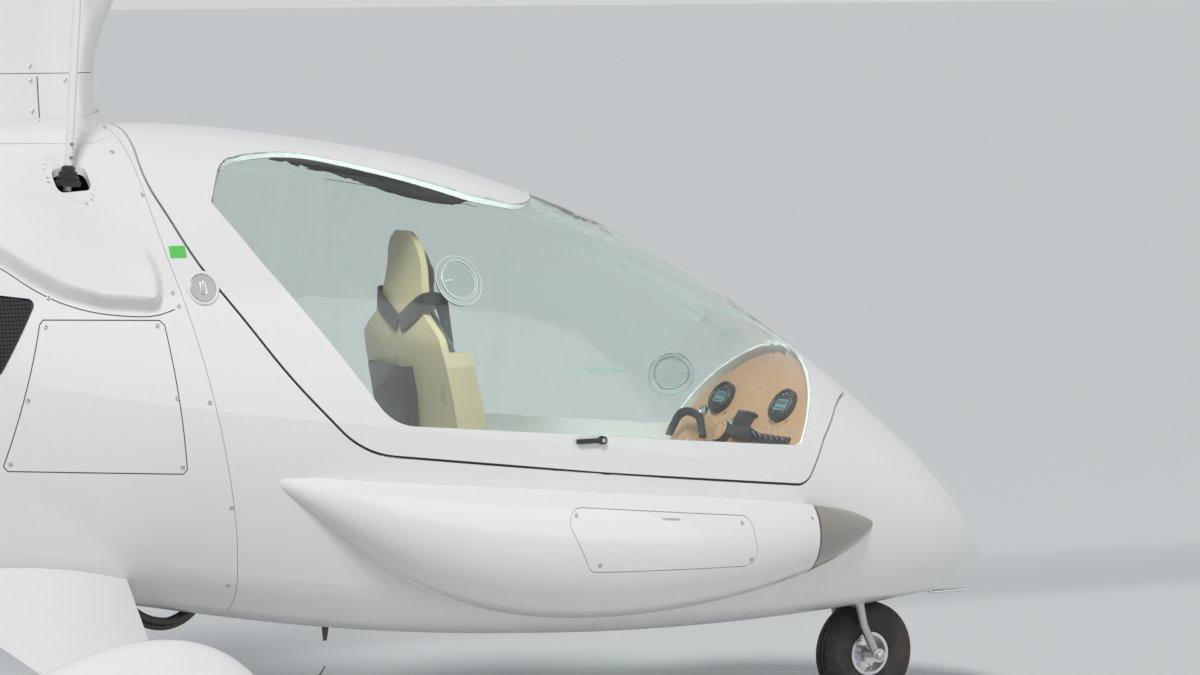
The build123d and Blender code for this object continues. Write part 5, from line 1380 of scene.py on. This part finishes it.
# %% Mast and rotor
MAST_TREE = tree_of("mast_fairing_low", "mast_fairing_high")
ROOF_TREE = tree_of("engine_cowl", "canopy_frame")
points, faces = [], []
AROUND = 48
STEPS = 7
FILLET_WIDE = 0.034
FILLET_HIGH = 0.040
FILLET_BEND = 2.2
MAST_SCREWS = [(0.022, 1.518), (0.022, 1.586), (0.022, 1.618), (0.10, 1.586)]
ROD_FOOT = (0.045, 0.200, 1.345)
ROD_TOP = (0.150, 0.150, 2.576)
for k in range(AROUND):
    turn = 2 * pi * k / AROUND
    way = Vector((cos(turn), sin(turn) * 0.7, 0)).normalized()
    hit, normal, _, _ = MAST_TREE.ray_cast(Vector((0.02, 0, 1.50)) + way * 0.9, -way)
    for step in range(STEPS + 1):
        share = step / STEPS
        out = hit + Vector((normal.x, normal.y, 0)).normalized() * (0.0005 + FILLET_WIDE * share**FILLET_BEND)
        roof, _, _, _ = ROOF_TREE.ray_cast(Vector((out.x, out.y, 1.7)), Vector((0, 0, -1)))
        base = roof.z if roof is not None else 1.40
        points.append((out.x, out.y, base + 0.0008 + FILLET_HIGH * (1 - share) ** FILLET_BEND))
        if step:
            a, b = k * (STEPS + 1) + step - 1, ((k + 1) % AROUND) * (STEPS + 1) + step - 1
            faces.append((a, b, b + 1, a + 1)[::-1])
mesh_piece("mast_fillet", points, faces, "shell_white", "airframe")

for side, hand in ((-1, "right"), (1, "left")):
    seam = [(0.036, 1.496 + 0.01 * k) for k in range(11)]
    joint_line(f"mast_seam_{hand}", seam, "airframe", side=side, tree=MAST_TREE)
    spots = [on_side(x, z, side, MAST_TREE) for x, z in MAST_SCREWS]
    scatter(f"mast_screws_{hand}", SCREW, spots, "steel", "airframe", scale=0.9)
    foot, top = (Vector((x, side * y, z)) for x, y, z in (ROD_FOOT, ROD_TOP))
    way = (top - foot).normalized()
    lathe(
        f"rod_boot_{hand}",
        [(0.0300, 0.000), (0.0310, 0.010), (0.0250, 0.014), (0.0265, 0.021), (0.0200, 0.025), (0.0210, 0.032),
         (0.0150, 0.036), (0.0155, 0.043), (0.0100, 0.047), (0.0098, 0.000)],
        foot + way * 0.010, way, "hose_rubber", "airframe", steps=36,
    )
    for k, up in enumerate((0.075, 0.105)):
        ends = [foot + way * up + Vector((0, y, 0)) for y in (-0.016, 0.016)]
        pipe(f"rod_bolt_{hand}_{k}", ends, 0.0035, "engine_metal", "airframe", curved=False)


def nut(name, centre, axis, across, high, body):
    """Six-sided nut with a washer, made from a bevelled prism."""
    deselect()
    bpy.ops.mesh.primitive_cylinder_add(vertices=6, radius=across / 2, depth=high)
    piece = bpy.context.object
    modify(piece, "BEVEL", width=across * 0.05, segments=2)
    place_piece(piece, Vector(centre) + Vector(axis).normalized() * high / 2, axis)
    settle(piece, name, "steel", body)
    lathe(
        f"{name}_washer",
        [(across * 0.72, 0.000), (across * 0.72, 0.0016), (across * 0.3, 0.0016), (across * 0.3, 0.000)],
        centre, axis, "aluminium", body, steps=28,
    )


# columns: bolt, place on the left, width over the corners, height, body
NUTS = [
    ("teeter", (0, 0.0525, 2.772), 0.022, 0.010, "rotor_tower"),
    ("nose_axle", (2.300, 0.070, 0.130), 0.024, 0.009, "nose_fork"),
]
for name, (x, y, z), across, high, body in NUTS:
    for side, hand in ((1, "left"), (-1, "right")):
        nut(f"{name}_nut_{hand}", (x, side * y, z), (0, side, 0), across, high, body)
print("mast and head done")
